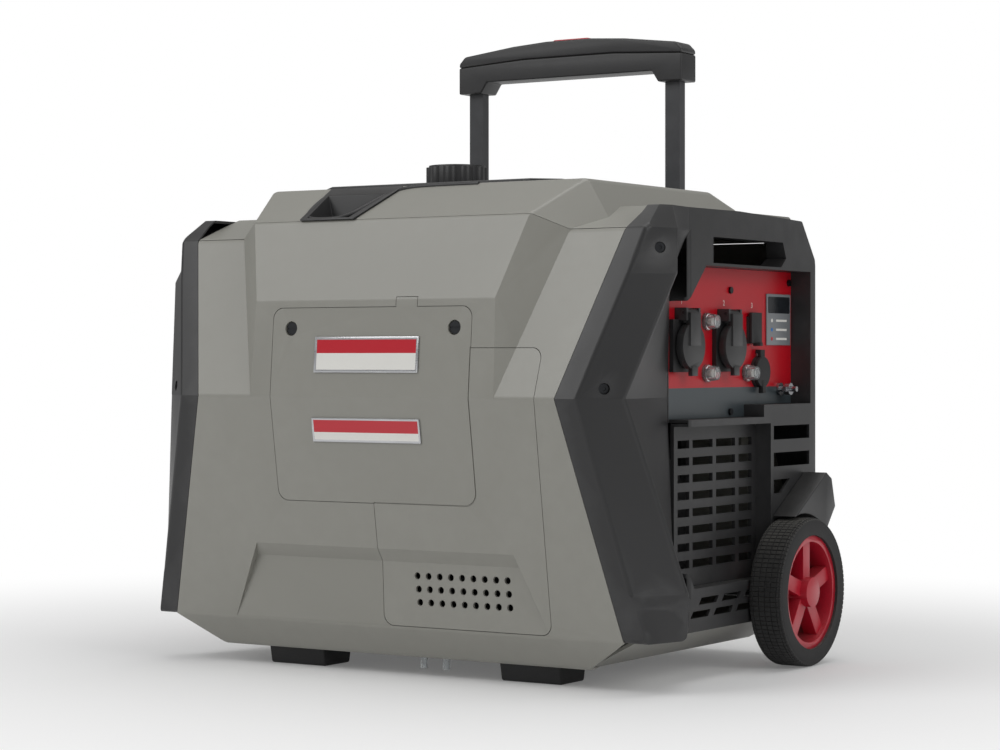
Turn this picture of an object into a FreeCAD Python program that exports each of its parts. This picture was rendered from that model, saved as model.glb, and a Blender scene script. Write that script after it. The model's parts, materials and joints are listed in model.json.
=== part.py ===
import FreeCAD, Part
import functools
import math
import os
import re

import Sketcher

Vector = FreeCAD.Vector
doc = FreeCAD.newDocument("portable_generator")
sheet = doc.addObject("Spreadsheet::Sheet", "Sizes")

# Driving sizes in millimetres: alias, value, meaning.
# X runs along the long side, -Y is the service side, Z is up from the floor.
SIZES = [
    ("wall", 3, "moulded cover thickness"),
    ("seam", 0.6, "reveal between neighbouring covers"),
    ("slip", 0.3, "clearance between separate pieces"),
    ("base_z", 20, "underside of the housing"),
    ("low_z", 52, "underside of the end caps"),
    ("mid_z", 291, "height of the widest line of the service side"),
    ("front_y", 228, "depth of that line from the middle"),
    ("low_y", 193, "depth of the front face at its foot"),
    ("bottom_y", 171.5, "depth of the bottom front corner"),
    ("shoulder_y", 170, "depth of the neck's shoulder"),
    ("shoulder_z", 460, "height of the neck's shoulder"),
    ("top_y", 92, "front end of the flat top of the neck"),
    ("top_z", 486, "top of the neck"),
    ("rear_top_y", 185, "rear end of the flat top"),
    ("rear_y", 228, "depth of the rear face"),
    ("rear_z", 430, "top of the flat rear face"),
    ("rear_low_y", 200, "depth of the bottom rear corner"),
    ("kink_y", 220.3, "depth of the bend in the raised front"),
    ("kink_z", 391, "height of that bend"),
    ("seam_y", 193, "depth of the raised seam line"),
    ("seam_z", 476, "height of the raised seam line"),
    ("crown_y", 125, "front end of the crown"),
    ("crown_z", 514, "top of the crown"),
    ("crown_rear_y", 140, "rear end of the crown"),
    ("crown_tail_y", 215, "rear foot of the crown"),
    ("crown_tail_z", 478, "height of the rear foot of the crown"),
    ("raised_mid_x", 150, "half width of the raised front at its bend"),
    ("raised_seam_x", 174, "half width of the raised front at the seam"),
    ("ramp_x", 200, "half width at the foot of the side ramps"),
    ("crown_x", 203, "half width of the crown"),
    ("border_mid_x", 223.3, "half length of the covers at mid height"),
    ("border_top_x", 275.7, "half length of the covers at the top"),
    ("border_low_x", 282, "half length of the covers at the foot"),
    ("bottom_x", 221.6, "half length of the bottom edge"),
    ("band_step", 24, "width of the flush band of an end cap"),
    ("crest_mid_x", 286, "reach of an end cap's crest at mid height"),
    ("crest_mid_y", 198, "depth of the crest at mid height"),
    ("crest_top_x", 323.5, "reach of the crest near the top"),
    ("crest_top_y", 146, "depth of the crest near the top"),
    ("crest_top_z", 430, "height of the upper end of the crest"),
    ("crest_low_x", 331.5, "reach of the crest near the foot"),
    ("crest_low_y", 150.5, "depth of the crest near the foot"),
    ("crest_low_z", 100, "height of the lower end of the crest"),
    ("corner_x", 294, "reach of the cap's top front corner"),
    ("corner_y", 118, "depth of the cap's top front corner"),
    ("foot_x", 322, "reach of the cap's bottom front corner"),
    ("foot_y", 138, "depth of the cap's bottom front corner"),
    ("cap_face", 290, "end face of the caps behind the crest"),
    ("cap_rear_y", 223, "rear face of the caps"),
    ("cap_rear_z", 418, "top of the flat rear face of the caps"),
    ("ridge_y", 75, "line where the crest's inner slope ends"),
    ("panel_face", 266, "front of the control panel"),
    ("panel_low_z", 268, "bottom edge of the control panel"),
    ("panel_step_z", 281, "raised bottom edge of the control panel"),
    ("panel_step_y", 93, "place of the step in the bottom edge"),
    ("panel_high_z", 426, "top edge of the control panel"),
    ("panel_rear_y", 206, "rear edge of the control panel"),
    ("panel_cut_z", 389, "foot of the panel's cut corner"),
    ("panel_cut_y", 37, "top of the panel's cut corner"),
    ("panel_plate", 3, "thickness of the control panel"),
    ("grille_face", 272, "front of the intake grille"),
    ("grille_plate", 4, "thickness of the intake grille"),
    ("grille_low_z", 96, "bottom edge of the intake grille"),
    ("grille_high_z", 261, "top edge of the intake grille"),
    ("grille_rear_y", 109, "rear edge of the intake grille"),
    ("louvre_pitch", 17.6, "distance between louvre rows"),
    ("louvre_height", 8.4, "height of a louvre slot"),
    ("grip_low_z", 429, "bottom of the finger pocket in a cap"),
    ("grip_high_z", 456, "top of the finger pocket in a cap"),
    ("grip_front_y", 22, "front end of the finger pocket"),
    ("grip_rear_y", 146, "rear end of the finger pocket"),
    ("grip_floor", 238, "inner end of the finger pocket"),
    ("cover_left_x", 126.5, "left edge of the service cover"),
    ("cover_step_x", 123.5, "step in the top of the service cover"),
    ("cover_right_x", 200, "right edge of the service cover"),
    ("cover_notch_x", 4, "left edge of the cover's lower part"),
    ("cover_top_z", 383.4, "top edge of the service cover"),
    ("cover_step_z", 341.2, "top of the cover's right part"),
    ("cover_mid_z", 181.3, "bottom of the cover's left part"),
    ("cover_foot_z", 54.5, "bottom of the service cover"),
    ("cover_corner", 12, "corner radius of the service cover"),
    ("pocket_depth", 7, "depth of the lower front pocket"),
    ("pocket_top_z", 134.5, "outer edge of the pocket's ledge"),
    ("pocket_ledge_z", 121, "inner edge of the pocket's ledge"),
    ("pocket_top_x", 161, "half width of the pocket at its ledge"),
    ("pocket_low_x", 199, "half width of the pocket at its foot"),
    ("vent_pitch_x", 13.7, "distance between vent holes in a row"),
    ("vent_pitch_z", 13.6, "distance between vent rows"),
    ("vent_radius", 3.6, "vent hole radius"),
    ("catch_x", 102.6, "place of the cover screws from the middle"),
    ("catch_z", 361.8, "height of the cover screws"),
    ("catch_radius", 6.5, "cover screw head radius"),
    ("catch_shank", 3.5, "cover screw shank radius"),
    ("catch_length", 16, "cover screw shank length"),
    ("carry_left_x", 120, "left end of the front carry grip"),
    ("carry_right_x", 18, "right end of the front carry grip"),
    ("tray_x", 152, "half width of the top tray"),
    ("tray_front_y", 118, "front edge of the top tray"),
    ("tray_rear_y", 150, "rear edge of the top tray"),
    ("tray_proud", 3, "height of the tray above the crown"),
    ("fuel_x", -82, "place of the fuel cap along the housing"),
    ("fuel_y", 60, "place of the fuel cap across the housing"),
    ("fuel_cap_radius", 35, "fuel cap radius"),
    ("fuel_cap_height", 33, "fuel cap height"),
    ("neck_radius", 24, "filler neck outer radius"),
    ("tank_low_z", 405, "underside of the fuel tank"),
    ("tank_high_z", 496, "top of the fuel tank"),
    ("post_x", 132.25, "distance of a handle post from the middle"),
    ("post_y", 183, "depth of the handle posts"),
    ("post_width", 18.6, "handle post width"),
    ("post_depth", 12.6, "handle post depth"),
    ("post_low_z", 180, "lower end of the posts as drawn out"),
    ("guide_low_z", 40, "lower end of the handle guides"),
    ("guide_high_z", 503, "upper end of the handle guides"),
    ("guide_wall", 2.6, "handle guide wall"),
    ("handle_end_x", 150, "half width of the grip"),
    ("handle_depth", 34, "depth of the grip"),
    ("handle_socket_z", 643, "underside of the grip's post sockets"),
    ("handle_under_z", 655.5, "underside of the grip"),
    ("handle_split_z", 674, "split line at the ends of the grip"),
    ("handle_top_z", 698, "top of the grip"),
    ("handle_shoulder_z", 687, "top of the grip's ends"),
    ("release_x", 24, "half width of the release button"),
    ("release_depth", 20, "depth of the release button"),
    ("release_travel", 4, "travel of the release button"),
    ("wheel_radius", 79.7, "tyre radius"),
    ("wheel_y", 132, "depth of the wheel axle"),
    ("tyre_inner_x", 292, "inner face of the tyres"),
    ("tyre_outer_x", 329, "outer face of the tyres"),
    ("rim_radius", 61, "outer radius of the wheel rims"),
    ("rim_lip", 7, "radial width of the rim's lip"),
    ("hub_radius", 16, "wheel hub radius"),
    ("axle_radius", 8, "axle radius"),
    ("bearing_gap", 0.05, "radial clearance of turning shafts"),
    ("foot_inner_x", 112, "inner end of a foot"),
    ("foot_outer_x", 185, "outer end of a foot"),
    ("foot_front_y", 150, "front edge of the feet"),
    ("foot_rear_y", 105, "rear edge of the feet"),
    ("socket_pitch", 93, "distance between the sockets"),
    ("socket_z", 343.5, "height of the sockets"),
    ("socket_width", 53, "socket flange width"),
    ("socket_height", 54, "socket flange height"),
    ("socket_well", 19.5, "radius of a socket's plug well"),
    ("socket_depth", 17.5, "depth of a socket's plug well"),
    ("lid_radius", 24, "socket lid radius"),
    ("breaker_radius", 9.3, "protective boot radius"),
    ("breaker_reach", 14, "reach of a boot from the panel"),
    ("breaker_high_z", 369, "height of the upper breaker"),
    ("breaker_low_z", 315, "height of the lower breakers"),
    ("button_travel", 3, "travel of a breaker button"),
    ("usb_y", 111, "place of the USB outlet"),
    ("usb_z", 361, "height of the USB outlet"),
    ("dc_y", 124, "place of the 12 volt outlet"),
    ("dc_z", 316, "height of the 12 volt outlet"),
    ("stud_y", 176, "place of the earth stud"),
    ("stud_z", 297, "height of the earth stud"),
    ("shaft_y", -20, "depth of the crankshaft"),
    ("shaft_z", 135, "height of the crankshaft"),
    ("shaft_radius", 14, "crankshaft radius"),
    ("case_x", 60, "half length of the crankcase"),
    ("case_y", 90, "half depth of the crankcase"),
    ("case_low_z", 60, "underside of the crankcase"),
    ("case_high_z", 210, "top of the crankcase"),
    ("rotor_radius", 90, "alternator rotor radius"),
    ("shroud_radius", 106, "fan shroud outer radius"),
    ("shroud_end_x", 205, "outer end of the fan shroud"),
    ("cylinder_top_z", 345, "top of the cylinder head"),
    ("cylinder_half", 44, "half width of the cylinder fins"),
    ("guard_reach", 318, "outer face of the wheel guards"),
    ("plate_thick", 1.6, "thickness of the name plates"),
]


def fill_sheet():
    """Write each size, its alias and its meaning into the spreadsheet."""
    for row, (alias, value, meaning) in enumerate(SIZES, start=1):
        sheet.set(f"A{row}", alias)
        sheet.set(f"B{row}", str(value))
        sheet.set(f"C{row}", meaning)
        sheet.setAlias(f"B{row}", alias)
    doc.recompute()


fill_sheet()
ALIASES = sorted((entry[0] for entry in SIZES), key=len, reverse=True)
ALIAS_PATTERN = re.compile(r"\b(" + "|".join(ALIASES) + r")\b")
NODES = []


def size(name):
    """Current value of a driving size."""
    return float(sheet.get(name))


def formula(text):
    """A sheet expression from plain alias names."""
    return ALIAS_PATTERN.sub(r"Sizes.\1", str(text))


def bind(thing, settings):
    """Tie properties of a document object to formulas."""
    for name, text in settings.items():
        thing.setExpression(name, formula(text))


def place(thing, x, y, z):
    """Tie a placement's base to three formulas."""
    bind(thing, {"Placement.Base.x": x, "Placement.Base.y": y, "Placement.Base.z": z})


def node(thing, name):
    """Register a finished sub-part under the name of its file."""
    thing.Label = name
    NODES.append((name, thing))
    return thing


# ---------------------------------------------------------------- primitives

def block(x, y, z):
    """Box from (low, high) formulas along each axis."""
    box = doc.addObject("Part::Box", "block")
    bind(box, {"Length": f"({x[1]}) - ({x[0]})",
               "Width": f"({y[1]}) - ({y[0]})",
               "Height": f"({z[1]}) - ({z[0]})"})
    place(box, x[0], y[0], z[0])
    return box


AXIS_TURN = {
    "X": FreeCAD.Rotation(Vector(0, 1, 0), 90),
    "Y": FreeCAD.Rotation(Vector(1, 0, 0), -90),
    "Z": FreeCAD.Rotation(),
}


def axis_place(thing, axis, start, first, second):
    """Put a round primitive on an axis; first and second are the other two places."""
    thing.Placement = FreeCAD.Placement(Vector(), AXIS_TURN[axis])
    spots = {"X": (start, first, second), "Y": (first, start, second), "Z": (first, second, start)}
    place(thing, *spots[axis])


def rod(axis, radius, span, first, second):
    """Cylinder along an axis over the (low, high) span."""
    cylinder = doc.addObject("Part::Cylinder", "rod")
    bind(cylinder, {"Radius": radius, "Height": f"({span[1]}) - ({span[0]})"})
    axis_place(cylinder, axis, span[0], first, second)
    return cylinder


def taper(axis, radii, span, first, second):
    """Cone along an axis, with its two end radii."""
    cone = doc.addObject("Part::Cone", "taper")
    bind(cone, {"Radius1": radii[0], "Radius2": radii[1],
                "Height": f"({span[1]}) - ({span[0]})"})
    axis_place(cone, axis, span[0], first, second)
    return cone


def fuse(*pieces):
    """One solid from several overlapping ones."""
    if len(pieces) == 1:
        return pieces[0]
    union = doc.addObject("Part::MultiFuse", "union")
    union.Shapes = list(pieces)
    return union


def cut(base, *tools):
    """A base with the tools taken away."""
    trimmed = doc.addObject("Part::Cut", "trimmed")
    trimmed.Base = base
    trimmed.Tool = fuse(*tools)
    return trimmed


def common(first, second):
    """What two solids share."""
    shared = doc.addObject("Part::MultiCommon", "shared")
    shared.Shapes = [first, second]
    return shared


def group(*pieces):
    """Separate solids kept in one node."""
    bundle = doc.addObject("Part::Compound", "bundle")
    bundle.Links = list(pieces)
    return bundle


def tube(axis, outer, inner, span, first, second):
    """Hollow round tube, open at both ends."""
    return cut(rod(axis, outer, span, first, second), rod(axis, inner, span, first, second))


def turned(piece, centre, axis, angle):
    """A copy of a piece turned about a line; the centre is given as formulas."""
    copy = doc.addObject("Part::Feature", "turned")
    doc.recompute()
    point = Vector(*[evaluate(text) for text in centre])
    shape = piece.Shape.copy()
    shape.rotate(point, axis, angle)
    copy.Shape = shape
    return copy


def evaluate(text):
    """Value of a formula in plain numbers."""
    plain = ALIAS_PATTERN.sub(lambda found: repr(size(found.group(1))), str(text))
    return float(FreeCAD.Units.Quantity(str(sheet.evalExpression(plain))).Value)


ROLE = {"X": "YZ_Plane", "Y": "XZ_Plane", "Z": "XY_Plane"}


def profile(axis, points, span, radius=None):
    """Body padded along an axis from an outline of formula pairs.

    The pairs are (Y, Z) for X, (X, Z) for Y and (X, Y) for Z.
    """
    body = doc.addObject("PartDesign::Body", "body")
    sketch = body.newObject("Sketcher::SketchObject", "outline")
    plane = [item for item in body.Origin.OriginFeatures if item.Role == ROLE[axis]][0]
    sketch.AttachmentSupport = (plane, [""])
    sketch.MapMode = "FlatFace"
    start = f"-({span[1]})" if axis == "Y" else span[0]
    bind(sketch, {"AttachmentOffset.Base.z": start})
    add_outline(sketch, points)
    pad = body.newObject("PartDesign::Pad", "pad")
    pad.Profile = sketch
    bind(pad, {"Length": f"({span[1]}) - ({span[0]})"})
    if radius is not None:
        doc.recompute()
        round_along(body, pad, axis, radius)
    return body


def add_outline(sketch, points):
    """Closed run of lines, each corner held by a formula pair."""
    values = [(evaluate(a), evaluate(b)) for a, b in points]
    count = len(points)
    for index in range(count):
        begin = Vector(*values[index], 0)
        end = Vector(*values[(index + 1) % count], 0)
        sketch.addGeometry(Part.LineSegment(begin, end), False)
    for index in range(count):
        sketch.addConstraint(Sketcher.Constraint("Coincident", index, 2, (index + 1) % count, 1))
    for index, (across, up) in enumerate(points):
        hold_corner(sketch, "DistanceX", index, across, values[index][0])
        hold_corner(sketch, "DistanceY", index, up, values[index][1])


def hold_corner(sketch, kind, index, text, value):
    """Tie one coordinate of a corner to a formula."""
    number = sketch.addConstraint(Sketcher.Constraint(kind, -1, 1, index, 1, value))
    sketch.setExpression(f"Constraints[{number}]", formula(text))


def round_along(body, feature, axis, radius):
    """Fillet the edges of a pad that run along its axis."""
    direction = {"X": Vector(1, 0, 0), "Y": Vector(0, 1, 0), "Z": Vector(0, 0, 1)}[axis]
    names = []
    for number, edge in enumerate(feature.Shape.Edges, start=1):
        run = edge.Vertexes[-1].Point.sub(edge.Vertexes[0].Point)
        if run.Length > 0 and abs(run.normalize().dot(direction)) > 0.999:
            names.append(f"Edge{number}")
    fillet = body.newObject("PartDesign::Fillet", "rounding")
    fillet.Base = (feature, names)
    bind(fillet, {"Radius": radius})
    return fillet


# ------------------------------------------------------------ moulded shells
# The covers' sloping facets meet at corners that no sketch plane holds, so
# their shapes are cut here from the same sheet sizes.

def feature(shape, name="shell"):
    """Document object that holds a finished shape."""
    thing = doc.addObject("Part::Feature", name)
    thing.Shape = shape
    return thing


def inset(points, depth):
    """Outline moved inwards by a depth; the points run anticlockwise."""
    moved = []
    count = len(points)
    for index in range(count):
        before = Vector(*points[index - 1], 0)
        here = Vector(*points[index], 0)
        after = Vector(*points[(index + 1) % count], 0)
        first = here.sub(before).normalize()
        second = after.sub(here).normalize()
        half = Vector(-first.y - second.y, first.x + second.x, 0)
        scale = 2 * depth / half.dot(half)
        moved.append((here.x + half.x * scale, here.y + half.y * scale))
    return moved


LIFT = {
    "X": lambda a, b, at: Vector(at, a, b),
    "Y": lambda a, b, at: Vector(a, at, b),
    "Z": lambda a, b, at: Vector(a, b, at),
}
ALONG = {"X": Vector(1, 0, 0), "Y": Vector(0, 1, 0), "Z": Vector(0, 0, 1)}


def prism(axis, points, low, high):
    """Solid between two places on an axis, from an outline of plain numbers."""
    corners = [LIFT[axis](a, b, low) for a, b in points]
    face = Part.Face(Part.makePolygon(corners + corners[:1]))
    return face.extrude(ALONG[axis] * (high - low))


def half_space(corners, depth=0):
    """Large block on the outer side of the plane through three corners."""
    first, second, third = [Vector(*corner) for corner in corners]
    normal = second.sub(first).cross(third.sub(first)).normalize()
    if normal.dot(first.sub(Vector(0, 0, size("mid_z")))) < 0:
        normal = normal * -1
    reach = 4 * size("crest_low_x")
    slab = Part.makeBox(reach, reach, reach, Vector(-reach / 2, -reach / 2, 0))
    turn = FreeCAD.Rotation(Vector(0, 0, 1), normal)
    slab.Placement = FreeCAD.Placement(first.sub(normal * depth), turn)
    return slab


def mirrored(corners):
    """The same three corners at the other end."""
    return [(-x, y, z) for x, y, z in corners]


def neck_outline():
    """Side outline of the body without its raised middle."""
    return [(-size("bottom_y"), size("base_z")), (size("rear_low_y"), size("base_z")),
            (size("rear_y"), size("low_z")), (size("rear_y"), size("rear_z")),
            (size("rear_top_y"), size("top_z")), (-size("top_y"), size("top_z")),
            (-size("shoulder_y"), size("shoulder_z")), (-size("front_y"), size("mid_z")),
            (-size("low_y"), size("low_z"))]


def raised_outline():
    """Side outline of the raised middle."""
    return [(-size("front_y"), size("mid_z")), (size("rear_y"), size("mid_z")),
            (size("rear_y"), size("rear_z")), (size("crown_tail_y"), size("crown_tail_z")),
            (size("crown_rear_y"), size("crown_z")), (-size("crown_y"), size("crown_z")),
            (-size("seam_y"), size("seam_z")), (-size("kink_y"), size("kink_z"))]


def ramp_planes():
    """Corners of the sloping sides of the raised middle."""
    root = (size("raised_mid_x") + 2, -size("front_y"), size("mid_z") + 7)
    kink = (size("raised_mid_x"), -size("kink_y"), size("kink_z"))
    upper = (size("raised_seam_x"), -size("seam_y"), size("seam_z"))
    lower = (size("ramp_x"), -size("shoulder_y") - 5, size("shoulder_z") + 3)
    crown = (size("crown_x"), -size("crown_y"), size("crown_z") - 4)
    side = (size("crown_x") + 14, -size("crown_y"), size("crown_z") - 24)
    tail = (size("crown_x"), size("crown_y"), size("crown_z") - 4)
    return [[root, kink, lower], [kink, upper, lower], [upper, lower, crown], [crown, side, tail]]


COVER_RADII = (10, 6)
CAP_RADII = (6, 4)
SHORT_CREASE = 40
FLAT_ANGLE = math.radians(8)
SAME_SPOT = 3


def crease_angle(shape, edge):
    """Angle that a shape turns through at an edge."""
    sides = shape.ancestorsOfType(edge, Part.Face)
    if len(sides) != 2:
        return 0
    first, second = [side.normalAt(*side.Surface.parameter(edge.CenterOfMass)) for side in sides]
    return first.getAngle(second)


def mirror_key(edge):
    """Where a crease is, told the same way for its mirror image."""
    middle = edge.CenterOfMass
    return abs(middle.x), middle.y, middle.z


def eased(shape, radii, low_x, high_x):
    """Rounds the long creases between two X planes, longest first, each as far as it will go."""
    creases = [edge for edge in shape.Edges
               if edge.Length > SHORT_CREASE and low_x < mirror_key(edge)[0] < high_x
               and crease_angle(shape, edge) > FLAT_ANGLE]
    creases.sort(key=lambda edge: -edge.Length)
    for spot in [Vector(*mirror_key(crease)) for crease in creases]:
        for radius in radii:
            pair = [edge for edge in shape.Edges
                    if spot.distanceToPoint(Vector(*mirror_key(edge))) < SAME_SPOT]
            rounded = try_round(shape, radius, pair)
            if rounded is not None:
                shape = rounded
                break
    return shape


def try_round(shape, radius, edges):
    """Shape with proud edges rounded, or None where that cannot be made."""
    if not edges:
        return None
    try:
        rounded = shape.makeFillet(radius, edges)
    except Part.OCCError:
        return None
    whole = rounded.isValid() and len(rounded.Solids) == 1
    return rounded if whole and 0 < shape.Volume - rounded.Volume < shape.Volume / 100 else None


@functools.lru_cache(maxsize=None)
def body_core(depth):
    """Closed form of the covers, its faces moved in by a depth."""
    reach = size("border_low_x") + 10
    neck = prism("X", inset(neck_outline(), depth), -reach, reach)
    raised = prism("X", inset(raised_outline(), depth), -reach, reach)
    for corners in ramp_planes():
        raised = raised.cut(half_space(corners, depth))
        raised = raised.cut(half_space(mirrored(corners), depth))
    core = neck.fuse(raised).removeSplitter()
    return core if depth else eased(core, COVER_RADII, -1, reach - 1)


def cover_limits(gap):
    """Front outline of the grey covers between the two end caps."""
    low = size("low_z")
    half = [(size("bottom_x"), size("base_z") - 5), (size("border_low_x"), low),
            (size("border_mid_x"), size("mid_z")), (size("border_top_x"), size("seam_z")),
            (size("border_top_x"), size("crown_z") + 20)]
    left = [(-x, z) for x, z in reversed(half)]
    outline = inset(half + left, gap)
    return prism("Y", outline, -size("front_y") - 30, size("rear_y") + 30)


def pocket_tool(depth):
    """Recess in the lower front, deepest under its ledge."""
    slope = (size("front_y") - size("low_y")) / (size("mid_z") - size("low_z"))
    ledge_y = size("front_y") - slope * (size("mid_z") - size("pocket_ledge_z"))
    outer_y = size("front_y") - slope * (size("mid_z") - size("pocket_top_z"))
    side = [(-outer_y - 40, size("low_z") + 2), (-size("low_y") + depth, size("low_z") + 2),
            (-ledge_y + size("pocket_depth") + depth, size("pocket_ledge_z") + depth * 0.5),
            (-outer_y + depth, size("pocket_top_z") + depth * 0.5),
            (-outer_y - 40, size("pocket_top_z") + depth * 0.5)]
    low = size("pocket_low_x") + depth
    top = size("pocket_top_x") + depth
    front = [(-low, size("low_z")), (low, size("low_z")),
             (top, size("pocket_top_z") + 2), (-top, size("pocket_top_z") + 2)]
    return prism("X", side, -low, low).common(prism("Y", front, -size("front_y") - 60, 0))


def body_shell():
    """Hollow moulded body of all the grey covers together."""
    outer = body_core(0).cut(pocket_tool(0))
    inner = body_core(size("wall")).cut(pocket_tool(size("wall")))
    return outer.cut(inner)


def side_region(points):
    """Slice of the body between side outline points, over its whole length."""
    reach = size("border_low_x") + 20
    return prism("X", points, -reach, reach)


def service_outline(gap):
    """Front outline of the service cover, grown by a gap."""
    left = -size("cover_left_x")
    step = size("cover_step_x")
    right = size("cover_right_x")
    notch = -size("cover_notch_x")
    tab = size("cover_top_z") + 10
    points = [(notch, size("cover_foot_z")), (right, size("cover_foot_z")),
              (right, size("cover_step_z")), (step, size("cover_step_z")),
              (step, size("cover_top_z")), (56.5, size("cover_top_z")), (56.5, tab),
              (30, tab), (30, size("cover_top_z")), (left, size("cover_top_z")),
              (left, size("cover_mid_z")), (notch, size("cover_mid_z"))]
    solid = prism("Y", inset(points, -gap), -size("front_y") - 30, -size("low_y") + 25)
    rounded = [0, 1, 2, 4, 9, 10]
    edges = []
    for index in rounded:
        x, z = inset(points, -gap)[index]
        edges += [edge for edge in solid.Edges if upright_at(edge, x, z)]
    return solid.makeFillet(size("cover_corner"), edges)


def upright_at(edge, x, z):
    """True for an edge along Y that passes through X, Z."""
    ends = [vertex.Point for vertex in edge.Vertexes]
    return all(abs(end.x - x) < 0.01 and abs(end.z - z) < 0.01 for end in ends)


def vent_holes():
    """Three staggered rows of round vents in the lower cover."""
    holes = []
    first_x = 39.3
    for row in range(3):
        for column in range(9):
            x = first_x + column * size("vent_pitch_x") + row * 1.2
            z = 107.4 - row * size("vent_pitch_z")
            holes.append(Part.makeCylinder(size("vent_radius"), 60, Vector(x, -240, z),
                                           Vector(0, 1, 0)))
    return holes[0].multiFuse(holes[1:])


def seam_line(gap):
    """Side outline of everything above the seam between top and front covers."""
    run = size("seam_y") - size("shoulder_y")
    rise = size("seam_z") - size("shoulder_z")
    far = size("front_y") + 20
    far_z = size("shoulder_z") + rise * (far - size("shoulder_y")) / run
    return [(-far, far_z + gap), (-size("shoulder_y"), size("shoulder_z") + gap),
            (far, size("shoulder_z") + gap), (far, far_z + 60), (-far, far_z + 60)]


def lower_region(front, gap):
    """Side outline below the top seam, ahead of or behind the belly line."""
    top = seam_line(-gap)
    far = size("front_y") + 20
    split = -size("foot_front_y") - 8
    if front:
        return [(-far, 0), (split, 0), (split, size("low_z")), (-60, size("low_z")),
                (-60, size("shoulder_z") - gap), top[1], top[0]]
    return [(size("rear_top_y"), size("base_z") + 6), (far, size("base_z") + 6),
            (far, size("shoulder_z") - gap), (size("rear_top_y"), size("shoulder_z") - gap)]


def grip_notch(gap):
    """Notch for the carry grip in the front edge of the crown."""
    left = size("carry_left_x") + gap
    right = size("carry_right_x") - gap
    slant = 24
    outline = [(-left + 8, size("seam_z") - gap), (-right - slant, size("seam_z") - gap),
               (-right, size("crown_z") + 10), (-left, size("crown_z") + 10)]
    return prism("Y", outline, -size("front_y") - 20, -size("tray_front_y") - 12 + gap)


def tray_outline(gap):
    """Plan outline of the top tray."""
    x = size("tray_x") + gap
    front = -size("tray_front_y") - gap
    rear = size("tray_rear_y") + gap
    corner = 24
    return [(-x + corner, front), (x - corner, front), (x, front + corner), (x, rear - corner),
            (x - corner, rear), (-x + corner, rear), (-x, rear - corner), (-x, front + corner)]


def guide_holes(gap):
    """Openings around both handle guides."""
    half_x = size("post_width") / 2 + size("guide_wall") + size("slip") + gap
    half_y = size("post_depth") / 2 + size("guide_wall") + size("slip") + gap
    holes = []
    for side in (-1, 1):
        corner = Vector(side * size("post_x") - half_x, size("post_y") - half_y, 0)
        holes.append(Part.makeBox(2 * half_x, 2 * half_y, 700, corner))
    return holes[0].fuse(holes[1])


def catch_tool(radius, low, high):
    """Cylinders along Y at both cover screws."""
    spots = [Vector(side * size("catch_x"), low, size("catch_z")) for side in (-1, 1)]
    rods = [Part.makeCylinder(radius, high - low, spot, Vector(0, 1, 0)) for spot in spots]
    return rods[0].fuse(rods[1])


def catch_face_y():
    """Depth of the sloping front at the cover screws."""
    slope = (size("front_y") - size("kink_y")) / (size("kink_z") - size("mid_z"))
    return -size("front_y") + slope * (size("catch_z") - size("mid_z"))


def make_covers():
    """Front, service, rear and top covers and the base tray."""
    gap = size("seam") / 2
    shell = body_shell().common(cover_limits(gap))
    lower = shell.common(side_region(lower_region(True, gap)))
    face_y = catch_face_y()
    cup = catch_tool(size("catch_radius") + 1.2, -260, face_y + 5)
    cup_wall = catch_tool(size("catch_radius") + 3.2, face_y - 0.5, face_y + 7)
    lid = lower.common(service_outline(-gap)).fuse(cup_wall.common(body_core(0))).cut(cup)
    lid = lid.cut(catch_tool(size("catch_shank") + size("slip"), -260, -180))
    lid = lid.cut(vent_holes()).cut(engraved_line())
    frame = lower.fuse(service_ledge()).cut(service_room(gap))
    node(feature(frame.cut(lid)), "front_cover")
    node(feature(lid), "service_cover")
    rear = shell.common(side_region(lower_region(False, gap)))
    dish = recoil_recess(size("wall")).common(body_core(0)).cut(recoil_recess(0))
    rear = rear.cut(recoil_recess(0)).fuse(dish)
    node(feature(rear.cut(guide_holes(0))), "rear_cover")
    top = shell.common(side_region(seam_line(gap)))
    top = top.cut(prism("Z", tray_outline(0.3), size("top_z") - 20, 600))
    top = top.cut(grip_notch(0.3)).cut(guide_holes(0.3))
    node(feature(top), "top_cover")


def service_ledge():
    """Inner flange of the front cover that the service cover lies on."""
    wall = size("wall")
    inner = body_core(wall).cut(pocket_tool(wall))
    deeper = body_core(2 * wall).cut(pocket_tool(2 * wall))
    band = service_outline(6).cut(service_outline(-8))
    reach = side_region([(-300, size("low_z") - 12), (0, size("low_z") - 12),
                         (0, size("cover_top_z") + 20), (-300, size("cover_top_z") + 20)])
    return inner.cut(deeper).common(band).common(reach)


def service_room(gap):
    """Space that the service cover needs in front of the flange."""
    depth = size("wall") + size("slip")
    behind = body_core(depth).cut(pocket_tool(depth))
    return service_outline(gap).cut(behind)


def engraved_line():
    """Fine groove that completes the rounded square of the service cover."""
    width = 1.2
    radius = 14
    right = size("cover_step_x")
    low = size("cover_mid_z")
    left = -size("cover_notch_x")
    outline = [(left - 40, low), (right, low), (right, size("cover_step_z") + 30),
               (left - 40, size("cover_step_z") + 30)]
    rings = []
    for depth in (0, width):
        solid = prism("Y", inset(outline, depth), -260, -180)
        x, z = inset(outline, depth)[1]
        corner = [edge for edge in solid.Edges if upright_at(edge, x, z)]
        rings.append(solid.makeFillet(radius, corner))
    window = Part.makeBox(right - left, 100, size("cover_step_z") - low + 2,
                          Vector(left + 0.01, -270, low - 1))
    skin = body_core(0).cut(body_core(1))
    return rings[0].cut(rings[1]).common(window).common(skin)


def recoil_recess(depth):
    """Dish in the rear cover around the starter grip."""
    return Part.makeBox(84 + 2 * depth, 22 + depth, 50 + 2 * depth,
                        Vector(118 - depth, size("rear_y") - 20 - depth, 235 - depth))


# -------------------------------------------------------------- end caps

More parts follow.
